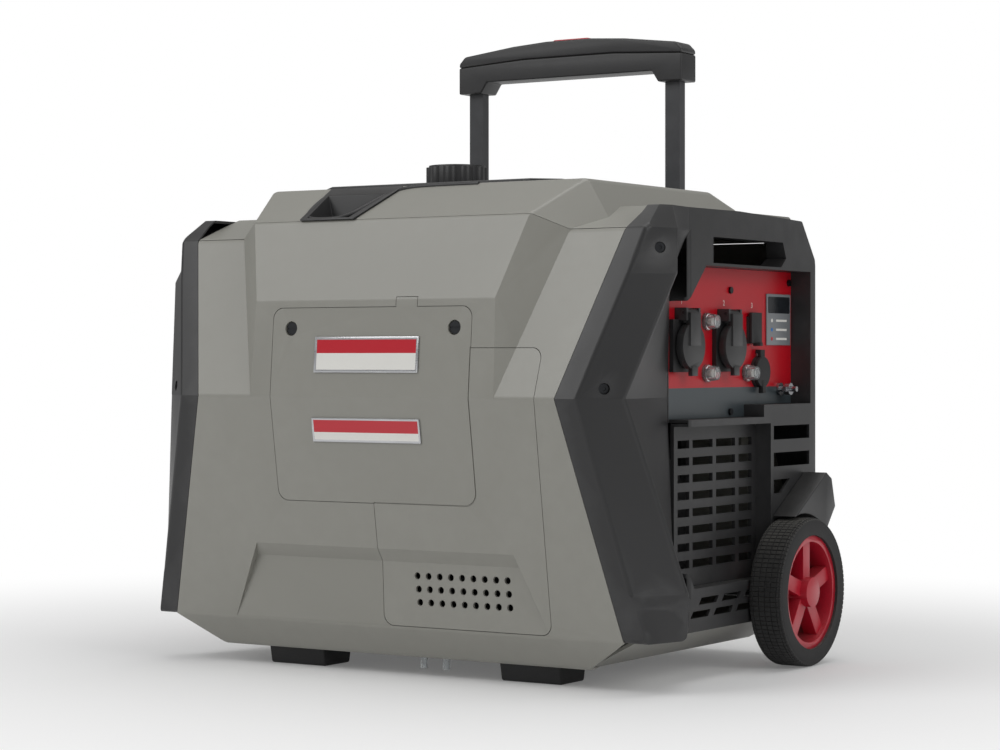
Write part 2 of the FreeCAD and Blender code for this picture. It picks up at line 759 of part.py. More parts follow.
def between(z, stops):
    """Value at a height on straight lines between (height, value) stops."""
    for (low, first), (high, second) in zip(stops, stops[1:]):
        if z <= high:
            return first + (second - first) * (z - low) / (high - low)
    return stops[-1][1]


def ridge_section(z, inner_x, depth):
    """Plan outline of the cap's crest at a height, moved in by a depth."""
    front = between(z, [(size("low_z"), size("low_y")), (size("mid_z"), size("front_y")), (size("shoulder_z"), size("shoulder_y")),
                        (size("top_z"), size("top_y") + 40)])
    border = between(z, [(size("low_z"), size("border_low_x")), (size("mid_z"), size("border_mid_x")),
                         (size("seam_z"), size("border_top_x")), (size("top_z"), size("border_top_x"))])
    crest_x = between(z, [(size("low_z"), size("foot_x")), (size("crest_low_z"), size("crest_low_x")),
                          (size("mid_z"), size("crest_mid_x")), (size("crest_top_z"), size("crest_top_x")),
                          (size("top_z"), size("corner_x"))])
    crest_y = between(z, [(size("low_z"), size("foot_y")), (size("crest_low_z"), size("crest_low_y")),
                          (size("mid_z"), size("crest_mid_y")), (size("crest_top_z"), size("crest_top_y")),
                          (size("top_z"), size("corner_y"))])
    band = min(border + size("band_step"), crest_x - 6)
    root = size("bottom_x") - 20
    points = [(root, -size("ridge_y")), (root, -front), (band, -front), (crest_x, -crest_y),
              (inner_x, -size("ridge_y"))]
    return inset(points, depth)


def ridge_levels(depth):
    """Heights of the crest's sections, each with the reach of its inner edge."""
    face = size("cap_face")
    panel = size("panel_face")
    return [(size("low_z") + depth, face), (size("grille_low_z") - 9, face),
            (size("grille_low_z") + 4, size("grille_face")), (size("mid_z"), panel),
            (size("panel_high_z") - 12, panel + 2), (size("shoulder_z"), face),
            (size("top_z") - depth - 2, face)]


def ridge(depth):
    """Crest of the cap, lofted straight from section to section."""
    wires = []
    for z, inner_x in ridge_levels(depth):
        corners = [Vector(x, y, z) for x, y in ridge_section(z, inner_x, depth)]
        wires.append(Part.makePolygon(corners + corners[:1]))
    return Part.makeLoft(wires, True, True)


def cap_outline():
    """Side outline of the cap behind its crest."""
    rear = size("cap_rear_y")
    return [(-size("ridge_y"), size("low_z")), (rear, size("low_z")), (rear, size("cap_rear_z")),
            (rear - 6, size("cap_rear_z") + 22), (rear - 38, size("top_z") - 5),
            (37, size("top_z") - 1), (-size("ridge_y"), size("top_z") - 2)]


def panel_outline(gap):
    """Side outline of the control panel, grown by a gap."""
    rear = size("panel_rear_y")
    points = [(-size("ridge_y") + 1, size("panel_low_z")), (size("panel_step_y"), size("panel_low_z")),
              (size("panel_step_y"), size("panel_step_z")), (rear, size("panel_step_z")),
              (rear, size("panel_high_z")), (-size("panel_cut_y"), size("panel_high_z")),
              (-size("ridge_y") + 1, size("panel_cut_z"))]
    return inset(points, -gap)


def grille_outline(gap):
    """Side outline of the intake grille, grown by a gap."""
    low = size("grille_low_z")
    rear = size("grille_rear_y")
    points = [(-size("ridge_y") + 12, low), (rear - 12, low), (rear, low + 24),
              (rear, size("grille_high_z")), (-size("ridge_y") + 1, size("grille_high_z")),
              (-size("ridge_y") + 1, low + 16)]
    return inset(points, -gap)


def crest_side(with_panel, far):
    """Clears the strip between the crest and the plates beside it."""
    high = size("panel_cut_z") if with_panel else size("grille_high_z")
    low = size("grille_low_z") + 16
    near = -size("ridge_y")
    strip = [(near, low), (near + 2, low), (near + 2, high), (near, high)]
    return prism("X", strip, size("panel_face"), far)


def cap_recesses(depth, with_panel):
    """Everything sunk into the cap, its walls grown by a depth."""
    far = size("crest_low_x") + 10
    grille_floor = size("grille_face") - size("grille_plate")
    sunk = prism("X", grille_outline(depth), grille_floor, far)
    if with_panel:
        panel_floor = size("panel_face") - size("panel_plate")
        sunk = sunk.fuse(prism("X", panel_outline(depth), panel_floor, far))
    sunk = sunk.fuse(crest_side(with_panel, far))
    low = size("grip_low_z") - depth
    high = size("grip_high_z") + depth
    front = -size("grip_front_y") - depth
    rear = size("grip_rear_y") + depth
    pocket = [(front, high), (front, low), (rear - 12, low), (rear, low + 10), (rear - 8, high)]
    floor = size("grip_floor") - depth
    return sunk.fuse(prism("X", pocket, floor, far))


@functools.lru_cache(maxsize=None)
def cap_block(depth):
    """Ridge and rear of an end cap as one rounded form, its faces moved in by a depth."""
    low_x = size("bottom_x") - 20
    rear = prism("X", inset(cap_outline(), depth), low_x, size("cap_face") - depth)
    whole = ridge(depth).fuse(rear).removeSplitter()
    return whole if depth else eased(whole, CAP_RADII, low_x + 1, math.inf)


def cap_form(depth, with_panel):
    """Closed form of an end cap, its faces moved in by a depth."""
    whole = cap_block(depth)
    overlap = Part.makeBox(size("cap_face") - depth - size("bottom_x"), 2 * depth + 1,
                           size("top_z") - size("low_z") - 2 * depth - 8,
                           Vector(size("bottom_x"), -size("ridge_y") - depth - 0.5,
                                  size("low_z") + depth + 2))
    if depth:
        whole = whole.fuse(overlap.common(cap_block(0)))
    return whole.cut(cap_recesses(depth, with_panel))


def side_slots():
    """Vents beside the grille and along the foot of the cap."""
    face = size("cap_face")
    slots = []
    for row in range(3):
        high = 258 - row * 29
        rear = 203 - (48 if row == 2 else 0)
        points = [(116, high - 15), (rear - (22 if row == 2 else 0), high - 15), (rear, high), (116, high)]
        slots.append(prism("X", points, face - 20, face + 20))
    for row, (start, count) in enumerate([(-54, 3), (-72, 3)]):
        for index in range(count):
            low = 79 - row * 13
            front = start + index * 50
            points = [(front, low), (front + 38, low), (front + 44, low + 7), (front + 6, low + 7)]
            slots.append(prism("X", points, face - 20, face + 20))
    return slots[0].multiFuse(slots[1:])


SEAT_HEIGHTS = (301, 440)
SEAT_DIRECTION = Vector(-0.6, 0.8, 0)


def bevel_spot(z):
    """Middle of the cap's bevel at a height."""
    section = ridge_section(z, size("cap_face"), 0)
    band = Vector(*section[2], z)
    crest = Vector(*section[3], z)
    return (band + crest) * 0.5


def screw_seats(radius, depth):
    """Blind bores for the cap screws, square to the slanted bevel."""
    bores = []
    for z in SEAT_HEIGHTS:
        start = bevel_spot(z) - SEAT_DIRECTION * 20
        bores.append(Part.makeCylinder(radius, 20 + depth, start, SEAT_DIRECTION))
    return bores[0].fuse(bores[1])


def make_end_cap(name, side, with_panel):
    """One end cap; side is 1 for the control end and -1 for the exhaust end."""
    form = cap_form(0, with_panel)
    shell = form.cut(cap_form(size("wall"), with_panel))
    shell = shell.cut(cover_limits(-size("seam") / 2)).cut(side_slots())
    shell = shell.fuse(screw_seats(8.6, 13).common(form)).cut(screw_seats(5.6, 9))
    axle = Part.makeCylinder(size("axle_radius") + size("slip"), 120,
                             Vector(220, size("wheel_y"), size("wheel_radius")), Vector(1, 0, 0))
    shell = shell.cut(axle)
    if not with_panel:
        outlet = Part.makeCylinder(27, 60, Vector(250, 60, 330), Vector(1, 0, 0))
        shell = shell.cut(outlet)
    if side < 0:
        shell = shell.mirror(Vector(), Vector(1, 0, 0))
    return node(feature(shell), name)


# ---------------------------------------------------------- fitted pieces

def make_base_tray():
    """Floor pan between the covers, its ends sloping up to the caps."""
    low = "base_z"
    rise = "base_z + wall"
    outline = [("-bottom_x + 1", low), ("bottom_x - 1", low), ("border_low_x - 1", "low_z"),
               ("border_low_x - 4", "low_z + 2"), ("bottom_x - 3", rise), ("-bottom_x + 3", rise),
               ("-border_low_x + 4", "low_z + 2"), ("-border_low_x + 1", "low_z")]
    floor = profile("Y", outline, ("-foot_front_y - 8 + seam", "rear_top_y + 9"))
    return node(floor, "base_tray")


def make_feet():
    """Two rubber feet under the service side."""
    pads = []
    for low, high in [("-foot_outer_x", "-foot_inner_x"), ("foot_inner_x", "foot_outer_x")]:
        pads.append(profile("X", [("-foot_front_y", "0"), ("-foot_rear_y", "0"),
                                  ("-foot_rear_y + 4", "base_z"), ("-foot_front_y - 4", "base_z")],
                            (low, high)))
    return node(group(*pads), "feet")


def make_panel():
    """Control panel plate with its openings."""
    plate = feature(prism("X", panel_outline(-size("slip")), size("panel_face") - size("panel_plate"),
                          size("panel_face")), "panel_blank")
    through = ("panel_face - 10", "panel_face + 10")
    holes = [rod("X", "socket_well + 2 + slip", through, y, "socket_z") for y in SOCKET_Y]
    holes += [rod("X", "6.5 + slip", through, y, z) for y, z in BREAKERS]
    holes.append(block(through, ("usb_y - 9 - slip", "usb_y + 9 + slip"),
                       ("usb_z - 11 - slip", "usb_z + 11 + slip")))
    holes.append(rod("X", "13 + slip", through, "dc_y", "dc_z"))
    holes.append(rod("X", "3 + slip", through, "stud_y", "stud_z"))
    holes += [rod("X", "1.6 + slip", through, y, z) for y, z in PANEL_SCREWS]
    return node(cut(plate, *holes), "control_panel")


SOCKET_Y = ("-socket_pitch / 2", "socket_pitch / 2")
BREAKERS = (("6", "breaker_high_z"), ("6", "breaker_low_z"), ("97", "breaker_low_z"))
PANEL_SCREWS = (("60.5", "403"), ("199", "414"), ("60", "274"))


def make_sockets():
    """Two outlets: flange, barrel with a plug well, and hinge ears."""
    shells = []
    contacts = []
    for y in SOCKET_Y:
        half = "socket_width / 2"
        flange = block(("panel_face", "panel_face + 5"), (f"{y} - {half}", f"{y} + {half}"),
                       ("socket_z - socket_height / 2", "socket_z + socket_height / 2"))
        collar = rod("X", "socket_well + 2", ("panel_face - 38", "panel_face + 10"), y, "socket_z")
        ears = block(("panel_face", "panel_face + 14"), (f"{y} - 15", f"{y} + 15"),
                     ("socket_z + socket_height / 2 - 1", "socket_z + socket_height / 2 + 12"))
        gap = block(("panel_face + 6", "panel_face + 20"), (f"{y} - 11.3", f"{y} + 11.3"),
                    ("socket_z + socket_height / 2 - 2", "socket_z + socket_height / 2 + 20"))
        bore = rod("Y", "2 + bearing_gap", (f"{y} - 20", f"{y} + 20"), "panel_face + 10",
                   "socket_z + socket_height / 2 + 7")
        well = rod("X", "socket_well", ("panel_face + 10 - socket_depth", "panel_face + 12"),
                   y, "socket_z")
        pins = [rod("X", "2.6", ("panel_face - 30", "panel_face"), f"{y} + ({step})", "socket_z")
                for step in ("-9.5", "9.5")]
        shells.append(cut(fuse(flange, collar, ears), gap, bore, well, *pins))
        for step in ("-9.5", "9.5"):
            contacts.append(tube("X", "2.6", "2.1", ("panel_face - 28", "panel_face - 9"),
                                 f"{y} + ({step})", "socket_z"))
    node(group(*shells), "socket_bodies")
    node(group(*contacts), "socket_contacts")
    for number, y in enumerate(SOCKET_Y, start=1):
        make_socket_lid(number, y)


def make_socket_lid(number, y):
    """Round spring lid with its hinge barrel and pull tab."""
    hinge_x = "panel_face + 10"
    hinge_z = "socket_z + socket_height / 2 + 7"
    face = ("panel_face + 10 + slip", "panel_face + 15")
    disc = rod("X", "lid_radius", face, y, "socket_z")
    rim = tube("X", "lid_radius", "lid_radius - 2", ("panel_face + 7", "panel_face + 12"),
               y, "socket_z")
    strap = block(("panel_face + 11", "panel_face + 17"), (f"{y} - 11", f"{y} + 11"),
                  ("socket_z", hinge_z))
    barrel = rod("Y", "4", (f"{y} - 11", f"{y} + 11"), hinge_x, hinge_z)
    pin = rod("Y", "2", (f"{y} - 14.5", f"{y} + 14.5"), hinge_x, hinge_z)
    tab = block(("panel_face + 11", "panel_face + 16"), (f"{y} - 6", f"{y} + 6"),
                ("socket_z - lid_radius - 7", "socket_z - lid_radius + 3"))
    return node(fuse(disc, rim, strap, barrel, pin, tab), f"socket_lid_{number}")


def make_breakers():
    """Three resettable breakers: body, push button and clear boot."""
    bodies = []
    boots = []
    for number, (y, z) in enumerate(BREAKERS, start=1):
        barrel = rod("X", "6.5", ("panel_face - 26", "panel_face + 3"), y, z)
        back = block(("panel_face - 44", "panel_face - 14"), (f"{y} - 8", f"{y} + 8"),
                     (f"{z} - 15", f"{z} + 15"))
        bodies.append(cut(fuse(barrel, back), rod("X", "3.5", ("panel_face - 8", "panel_face + 9"), y, z)))
        button = fuse(rod("X", "3.2", ("panel_face - 4", "panel_face + 9"), y, z),
                      rod("X", "4.6", ("panel_face + 6.2", "panel_face + 9"), y, z))
        node(button, f"breaker_button_{number}")
        boots.append(make_boot(y, z))
    node(group(*bodies), "breaker_bodies")
    node(group(*boots), "breaker_boots")


def make_boot(y, z):
    """Clear boot: a wide skirt on the panel and a narrower domed tip."""
    skirt = rod("X", "breaker_radius", ("panel_face", "panel_face + 3.5"), y, z)
    cone = taper("X", ("breaker_radius - 0.6", "7"), ("panel_face + 3.4", "panel_face + breaker_reach"),
                 y, z)
    hollow = fuse(rod("X", "6.5 + slip", ("panel_face - 1", "panel_face + 3.4"), y, z),
                  rod("X", "5.8", ("panel_face + 3", "panel_face + breaker_reach - 1.2"), y, z))
    return cut(fuse(skirt, cone), hollow)


def make_small_outlets():
    """USB and 12 volt outlets with their hinged rubber covers."""
    usb = block(("panel_face - 24", "panel_face + 2.5"), ("usb_y - 9", "usb_y + 9"),
                ("usb_z - 11", "usb_z + 11"))
    usb_rim = block(("panel_face", "panel_face + 2.5"), ("usb_y - 12.5", "usb_y + 12.5"),
                    ("usb_z - 14.5", "usb_z + 14.5"))
    slots = [block(("panel_face - 14", "panel_face + 5"), ("usb_y - 6.8", "usb_y + 6.8"),
                   (f"usb_z + ({step}) - 2.6", f"usb_z + ({step}) + 2.6")) for step in ("-5", "5")]
    node(cut(fuse(usb, usb_rim), *slots), "usb_socket")
    cover = block(("panel_face + 2.5 + slip", "panel_face + 6.5"), ("usb_y - 12", "usb_y + 12"),
                  ("usb_z - 14", "usb_z + 19"))
    strap = block(("panel_face + slip", "panel_face + 6.5"), ("usb_y - 4", "usb_y + 4"),
                  ("usb_z + 17", "usb_z + 19"))
    pull = block(("panel_face + 3", "panel_face + 12"), ("usb_y - 3", "usb_y + 3"),
                 ("usb_z - 17", "usb_z - 13"))
    node(fuse(cover, strap, pull), "usb_cover")
    flange = rod("X", "17", ("panel_face", "panel_face + 3"), "dc_y", "dc_z")
    barrel = rod("X", "13", ("panel_face - 40", "panel_face + 3"), "dc_y", "dc_z")
    well = rod("X", "10.4", ("panel_face - 36", "panel_face + 5"), "dc_y", "dc_z")
    node(cut(fuse(flange, barrel), well), "dc_socket")
    disc = fuse(rod("X", "16.5", ("panel_face + 3 + slip", "panel_face + 8"), "dc_y", "dc_z"),
                block(("panel_face + slip", "panel_face + 7"), ("dc_y - 5", "dc_y + 5"),
                      ("dc_z + 20", "dc_z + 24")),
                block(("panel_face + 3 + slip", "panel_face + 7"), ("dc_y - 5", "dc_y + 5"),
                      ("dc_z + 8", "dc_z + 24")),
                block(("panel_face + 3 + slip", "panel_face + 9"), ("dc_y - 3.5", "dc_y + 3.5"),
                      ("dc_z - 23", "dc_z - 10")))
    node(disc, "dc_cover")


def make_earth_terminal():
    """Earth stud with its shoulder, and the nut that clamps a wire."""
    stud = fuse(rod("X", "3", ("panel_face - 12", "panel_face + 22"), "stud_y", "stud_z"),
                rod("X", "7", ("panel_face", "panel_face + 3"), "stud_y", "stud_z"))
    node(stud, "earth_stud")
    body = rod("X", "6.5", ("panel_face + 9", "panel_face + 15"), "stud_y", "stud_z")
    wings = block(("panel_face + 10", "panel_face + 14"), ("stud_y - 11", "stud_y + 11"),
                  ("stud_z - 2.5", "stud_z + 2.5"))
    bore = rod("X", "3 + bearing_gap", ("panel_face", "panel_face + 30"), "stud_y", "stud_z")
    node(cut(fuse(body, wings), bore), "earth_nut")


def make_plates():
    """Indicator plate on the panel and blank name plates on the service cover."""
    node(block(("panel_face", "panel_face + plate_thick"), ("144", "202"), ("345", "401")),
         "indicator_plate")
    slope = "(front_y - kink_y) / (kink_z - mid_z)"
    upper = profile("X", [("-front_y + (316 - mid_z) * " + slope, "316"),
                          ("-front_y + (353 - mid_z) * " + slope, "353"),
                          ("-front_y - plate_thick + (353 - mid_z) * " + slope, "353"),
                          ("-front_y - plate_thick + (316 - mid_z) * " + slope, "316")],
                    ("-70", "61"))
    fall = "(front_y - low_y) / (mid_z - low_z)"
    lower = profile("X", [("-front_y + (mid_z - 244) * " + fall, "244"),
                          ("-front_y + (mid_z - 269) * " + fall, "269"),
                          ("-front_y - plate_thick + (mid_z - 269) * " + fall, "269"),
                          ("-front_y - plate_thick + (mid_z - 244) * " + fall, "244")],
                    ("-74", "62"))
    node(group(upper, lower), "name_plates")


def make_cover_screws():
    """Quarter-turn screws of the service cover."""
    for side, name in ((-1, "cover_screw_left"), (1, "cover_screw_right")):
        spot = f"({side}) * catch_x"
        face = f"({catch_face_y():.3f})"
        head = rod("Y", "catch_radius", (f"{face} + 1.5", f"{face} + 4.5"), spot, "catch_z")
        shank = rod("Y", "catch_shank", (f"{face} + 2", f"{face} + 2 + catch_length"), spot, "catch_z")
        slot = block((f"{spot} - catch_radius - 1", f"{spot} + catch_radius + 1"),
                     (f"{face} - 1", f"{face} + 2.7"), ("catch_z - 0.9", "catch_z + 0.9"))
        node(cut(fuse(head, shank), slot), name)


def make_grille():
    """Louvred plate in each end cap."""
    back = size("grille_face") - size("grille_plate")
    plate = feature(prism("X", grille_outline(-size("slip")), back, size("grille_face")), "blank")
    slots = []
    columns = (("-66", "-41"), ("-34", "10"), ("17.6", "60.6"), ("68.6", "98.8"))
    for row in range(8):
        top = f"(246.5 - {row} * louvre_pitch)"
        for low, high in columns:
            slots.append(block(("grille_face - 12", "grille_face + 5"), (low, high),
                               (f"{top} - louvre_height", top)))
    grille = cut(plate, *slots)
    twin = doc.addObject("Part::Mirroring", "mirror")
    twin.Source = grille
    twin.Normal = Vector(1, 0, 0)
    return node(group(grille, twin), "end_grilles")


def make_top_tray():
    """Tray around the fuel cap, let into the crown."""
    shape = prism("Z", tray_outline(0), size("top_z") - 2, size("crown_z") + size("tray_proud"))
    hollow = prism("Z", tray_outline(-8), size("crown_z") - 8, size("crown_z") + 20)
    under = prism("Z", tray_outline(-3), size("top_z") - 10, size("crown_z") - 11)
    neck = Part.makeCylinder(size("neck_radius") + size("slip"), 80,
                             Vector(size("fuel_x"), size("fuel_y"), size("top_z") - 20))
    tray = shape.cut(hollow).cut(under).cut(neck).cut(guide_holes(0.3))
    return node(feature(tray), "top_tray")


def make_carry_grip():
    """Grip moulding in the notch of the crown, open to the front."""
    bar = grip_notch(0).common(body_core(-2.5))
    pocket = grip_notch(-7)
    pocket.translate(Vector(0, -9, -4))
    lip = prism("Z", tray_outline(0.3), size("top_z") - 30, 600)
    return node(feature(bar.cut(pocket).cut(lip)), "carry_grip")


def make_fuel_system():
    """Tank, filler neck and cap."""
    tank = block(("-196", "-4"), ("-104", "152"), ("tank_low_z", "tank_high_z - 14"))
    top = block(("-150", "-14"), ("-90", "146"), ("tank_high_z - 15", "tank_high_z - 14 + slip"))
    hollow = block(("-193", "-7"), ("-101", "149"), ("tank_low_z + 3", "tank_high_z - 17"))
    boss = rod("Z", "neck_radius + 6", ("tank_high_z - 15", "tank_high_z"), "fuel_x", "fuel_y")
    mouth = rod("Z", "neck_radius - 3", ("tank_high_z - 30", "tank_high_z + 1"), "fuel_x", "fuel_y")
    node(cut(fuse(tank, top, boss), hollow, mouth), "fuel_tank")
    neck_top = "crown_z + tray_proud + 6"
    neck = tube("Z", "neck_radius", "neck_radius - 3", ("tank_high_z", neck_top), "fuel_x", "fuel_y")
    node(neck, "filler_neck")
    low = "crown_z + tray_proud - 1"
    cap = fuse(rod("Z", "fuel_cap_radius - 3", (low, f"{low} + fuel_cap_height"), "fuel_x", "fuel_y"),
               *cap_lobes(low))
    room = rod("Z", "neck_radius + 0.6", (f"{low} - 1", f"{neck_top} + 1"), "fuel_x", "fuel_y")
    node(cut(cap, room), "fuel_cap")


def cap_lobes(low):
    """Ten round lobes about the fuel cap."""
    lobes = []
    for index in range(10):
        angle = 36 * index
        lobes.append(rod("Z", "8", (low, f"{low} + fuel_cap_height - 2"),
                         f"fuel_x + (fuel_cap_radius - 8) * cos({angle})",
                         f"fuel_y + (fuel_cap_radius - 8) * sin({angle})"))
    return lobes


def make_handle():
    """Telescopic posts, grip shells, release button and fixed guides."""
    half_x = "post_width / 2"
    half_y = "post_depth / 2"
    posts = []
    guides = []
    for side in ("-1", "1"):
        centre = f"({side}) * post_x"
        across = (f"{centre} - {half_x}", f"{centre} + {half_x}")
        post = block(across, (f"post_y - {half_y}", f"post_y + {half_y}"),
                     ("post_low_z", "handle_split_z - 3"))
        bore = block((f"{across[0]} + 2", f"{across[1]} - 2"),
                     (f"post_y - {half_y} + 2", f"post_y + {half_y} - 2"),
                     ("post_low_z - 1", "handle_split_z - 5"))
        posts.append(cut(post, bore))
        grow = "guide_wall + slip"
        outer = block((f"{across[0]} - {grow}", f"{across[1]} + {grow}"),
                      (f"post_y - {half_y} - {grow}", f"post_y + {half_y} + {grow}"),
                      ("guide_low_z", "guide_high_z"))
        room = block((f"{across[0]} - slip", f"{across[1]} + slip"),
                     (f"post_y - {half_y} - slip", f"post_y + {half_y} + slip"),
                     ("guide_low_z - 1", "guide_high_z + 1"))
        guides.append(cut(outer, room))
    node(group(*posts), "handle_posts")
    node(group(*guides), "handle_guides")
    make_grip(half_x)


def make_grip(half_x):
    """Lower and upper shells of the grip, and the release button on top."""
    inner = f"post_x - {half_x} - 4"
    depth = ("post_y - handle_depth / 2", "post_y + handle_depth / 2")
    outline = [("-handle_end_x", "handle_socket_z"), (f"-({inner})", "handle_socket_z"),
               (f"-({inner}) + 8", "handle_under_z"), (f"{inner} - 8", "handle_under_z"),
               (inner, "handle_socket_z"), ("handle_end_x", "handle_socket_z"),
               ("handle_end_x", "handle_split_z"), ("60", "handle_split_z + 5"),
               ("-60", "handle_split_z + 5"), ("-handle_end_x", "handle_split_z")]
    lower = profile("Y", outline, depth)
    rooms = []
    for side in ("-1", "1"):
        centre = f"({side}) * post_x"
        rooms.append(block((f"{centre} - {half_x}", f"{centre} + {half_x}"),
                           ("post_y - post_depth / 2", "post_y + post_depth / 2"),
                           ("handle_socket_z - 1", "handle_split_z - 3")))
    node(cut(lower, *rooms), "grip_lower")
    arch = [("-handle_end_x", "handle_split_z"), ("-60", "handle_split_z + 5"),
            ("60", "handle_split_z + 5"), ("handle_end_x", "handle_split_z"),
            ("handle_end_x", "handle_shoulder_z - 8"), ("handle_end_x - 8", "handle_shoulder_z"),
            ("75", "handle_top_z - 3"), ("30", "handle_top_z"), ("-30", "handle_top_z"),
            ("-75", "handle_top_z - 3"), ("-handle_end_x + 8", "handle_shoulder_z"),
            ("-handle_end_x", "handle_shoulder_z - 8")]
    upper = profile("Y", arch, depth)
    room = block(("-release_x - slip", "release_x + slip"),
                 ("post_y - release_depth / 2 - slip", "post_y + release_depth / 2 + slip"),
                 ("handle_split_z + 9", "handle_top_z + 5"))
    node(cut(upper, room), "grip_upper")
    button = block(("-release_x", "release_x"),
                   ("post_y - release_depth / 2", "post_y + release_depth / 2"),
                   ("handle_split_z + 9 + release_travel + slip", "handle_top_z + 2"))
    node(button, "release_button")


def make_wheels():
    """Axle, and a rim and tyre at each side."""
    spot = ("wheel_y", "wheel_radius")
    node(rod("X", "axle_radius", ("-tyre_outer_x + 4", "tyre_outer_x - 4"), *spot), "axle")
    for side, name in ((-1, "left"), (1, "right")):
        tyre = tube("X", "wheel_radius", "rim_radius", ("tyre_inner_x", "tyre_outer_x"), *spot)
        rim = tube("X", "rim_radius", "rim_radius - rim_lip", ("tyre_inner_x + 3", "tyre_outer_x - 3"),
                   *spot)
        hub = rod("X", "hub_radius", ("tyre_inner_x - 1", "tyre_outer_x"), *spot)
        spokes = [spoke(index) for index in range(5)]
        bore = rod("X", "axle_radius + bearing_gap", ("tyre_inner_x - 5", "tyre_outer_x - 3"), *spot)
        wheel = cut(fuse(rim, hub, *spokes), bore)
        put_side(tyre, side, f"tyre_{name}")
        put_side(wheel, side, f"rim_{name}")


def spoke(index):
    """One spoke, widening towards the rim."""
    bar = block(("tyre_inner_x + 14", "tyre_outer_x - 8"), ("wheel_y - 8", "wheel_y + 8"),
                ("wheel_radius + hub_radius - 4", "wheel_radius + rim_radius - 3"))
    return turned(bar, ("0", "wheel_y", "wheel_radius"), Vector(1, 0, 0), 72 * index)


def put_side(piece, side, name):
    """Node of a piece, mirrored to the other end when side is -1."""
    if side > 0:
        return node(piece, name)
    twin = doc.addObject("Part::Mirroring", "mirror")
    twin.Source = piece
    twin.Normal = Vector(1, 0, 0)
    return node(twin, name)


def make_wheel_guards():
    """Guard above each wheel, screwed to the cap."""
    guards = []
    outline = [("88", "139"), ("92", "149"), ("189", "206"), ("202", "199"), ("211", "168"),
               ("wheel_y", "wheel_radius")]
    for side in (-1, 1):
        blank = profile("X", outline, ("cap_face + slip / 3", "guard_reach"))
        room = rod("X", "wheel_radius + 4", ("cap_face - 5", "guard_reach + 5"),
                   "wheel_y", "wheel_radius")
        guard = cut(blank, room)
        if side < 0:
            twin = doc.addObject("Part::Mirroring", "mirror")
            twin.Source = guard
            twin.Normal = Vector(1, 0, 0)
            guard = twin
        guards.append(guard)
    return node(group(*guards), "wheel_guards")


def make_fasteners():
    """Cap screws, panel screws and the clear drain tubes."""
    screws = []
    for z in SEAT_HEIGHTS:
        for side in (-1, 1):
            along = Vector(SEAT_DIRECTION.x * side, SEAT_DIRECTION.y, 0)
            middle = bevel_spot(z)
            spot = Vector(side * middle.x, middle.y, z) + along * 5.6
            head = Part.makeCylinder(5, 3.4, spot, along)
            socket = Part.makeCylinder(2.4, 2, spot, along)
            screws.append(head.cut(socket))
    heads = [feature(Part.makeCompound(screws))]
    for y, z in PANEL_SCREWS:
        head = rod("X", "3.6", ("panel_face + slip / 3", "panel_face + 2.4"), y, z)
        shank = rod("X", "1.6", ("panel_face - 12", "panel_face + 1"), y, z)
        heads.append(fuse(head, shank))
    node(group(*heads), "housing_screws")
    tubes = [tube("Z", "4.2", "2.8", ("8", "base_z"), x, "-158") for x in ("22", "50")]
    node(group(*tubes), "drain_tubes")


# ----------------------------------------------------------- machinery

def make_engine():
    """Crankcase, cylinder, plug, shaft, alternator and shroud."""
    across = ("shaft_y - case_y", "shaft_y + case_y")
    case = block(("-case_x", "case_x"), across, ("case_low_z", "case_high_z"))
    flange = rod("X", "shroud_radius + 1", ("case_x - 8", "case_x"), "shaft_y", "shaft_z")
    hollow = block(("-case_x + 6", "case_x - 8"), ("shaft_y - case_y + 6", "shaft_y + case_y - 6"),
                   ("case_low_z + 6", "case_high_z - 6"))
    bore = rod("X", "shaft_radius + bearing_gap", ("-case_x - 5", "case_x + 5"), "shaft_y", "shaft_z")
    node(cut(fuse(case, flange), hollow, bore), "crankcase")
    half = "cylinder_half"
    barrel = rod("Z", "34", ("case_high_z", "cylinder_top_z - 20"), "0", "shaft_y")
    fins = [block((f"-{half}", half), (f"shaft_y - {half}", f"shaft_y + {half}"),
                  (f"case_high_z + 12 + {step}", f"case_high_z + 15 + {step}"))
            for step in (0, 12, 24, 36, 48, 60, 72, 84)]
    head = block(("-40", "40"), ("shaft_y - 40", "shaft_y + 40"),
                 ("cylinder_top_z - 21", "cylinder_top_z"))
    node(fuse(barrel, head, *fins), "cylinder")
    plug = fuse(rod("Z", "5", ("cylinder_top_z", "cylinder_top_z + 22"), "0", "shaft_y"),
                rod("Z", "9", ("cylinder_top_z + 6", "cylinder_top_z + 14"), "0", "shaft_y"),
                rod("Z", "10", ("cylinder_top_z + 21", "cylinder_top_z + 44"), "0", "shaft_y"))
    node(plug, "spark_plug")
    web = fuse(rod("X", "40", ("-18", "-8"), "shaft_y", "shaft_z"),
               rod("X", "40", ("8", "18"), "shaft_y", "shaft_z"))
    shaft = fuse(rod("X", "shaft_radius", ("-case_x - 12", "case_x + 88"), "shaft_y", "shaft_z"), web)
    node(shaft, "crankshaft")
    make_alternator()
    mounts = [rod("Z", "15", ("base_z + wall", "case_low_z"), x, y)
              for x in ("-case_x + 26", "case_x - 26")
              for y in ("shaft_y - case_y + 18", "shaft_y + case_y - 18")]
    node(group(*mounts), "engine_mounts")


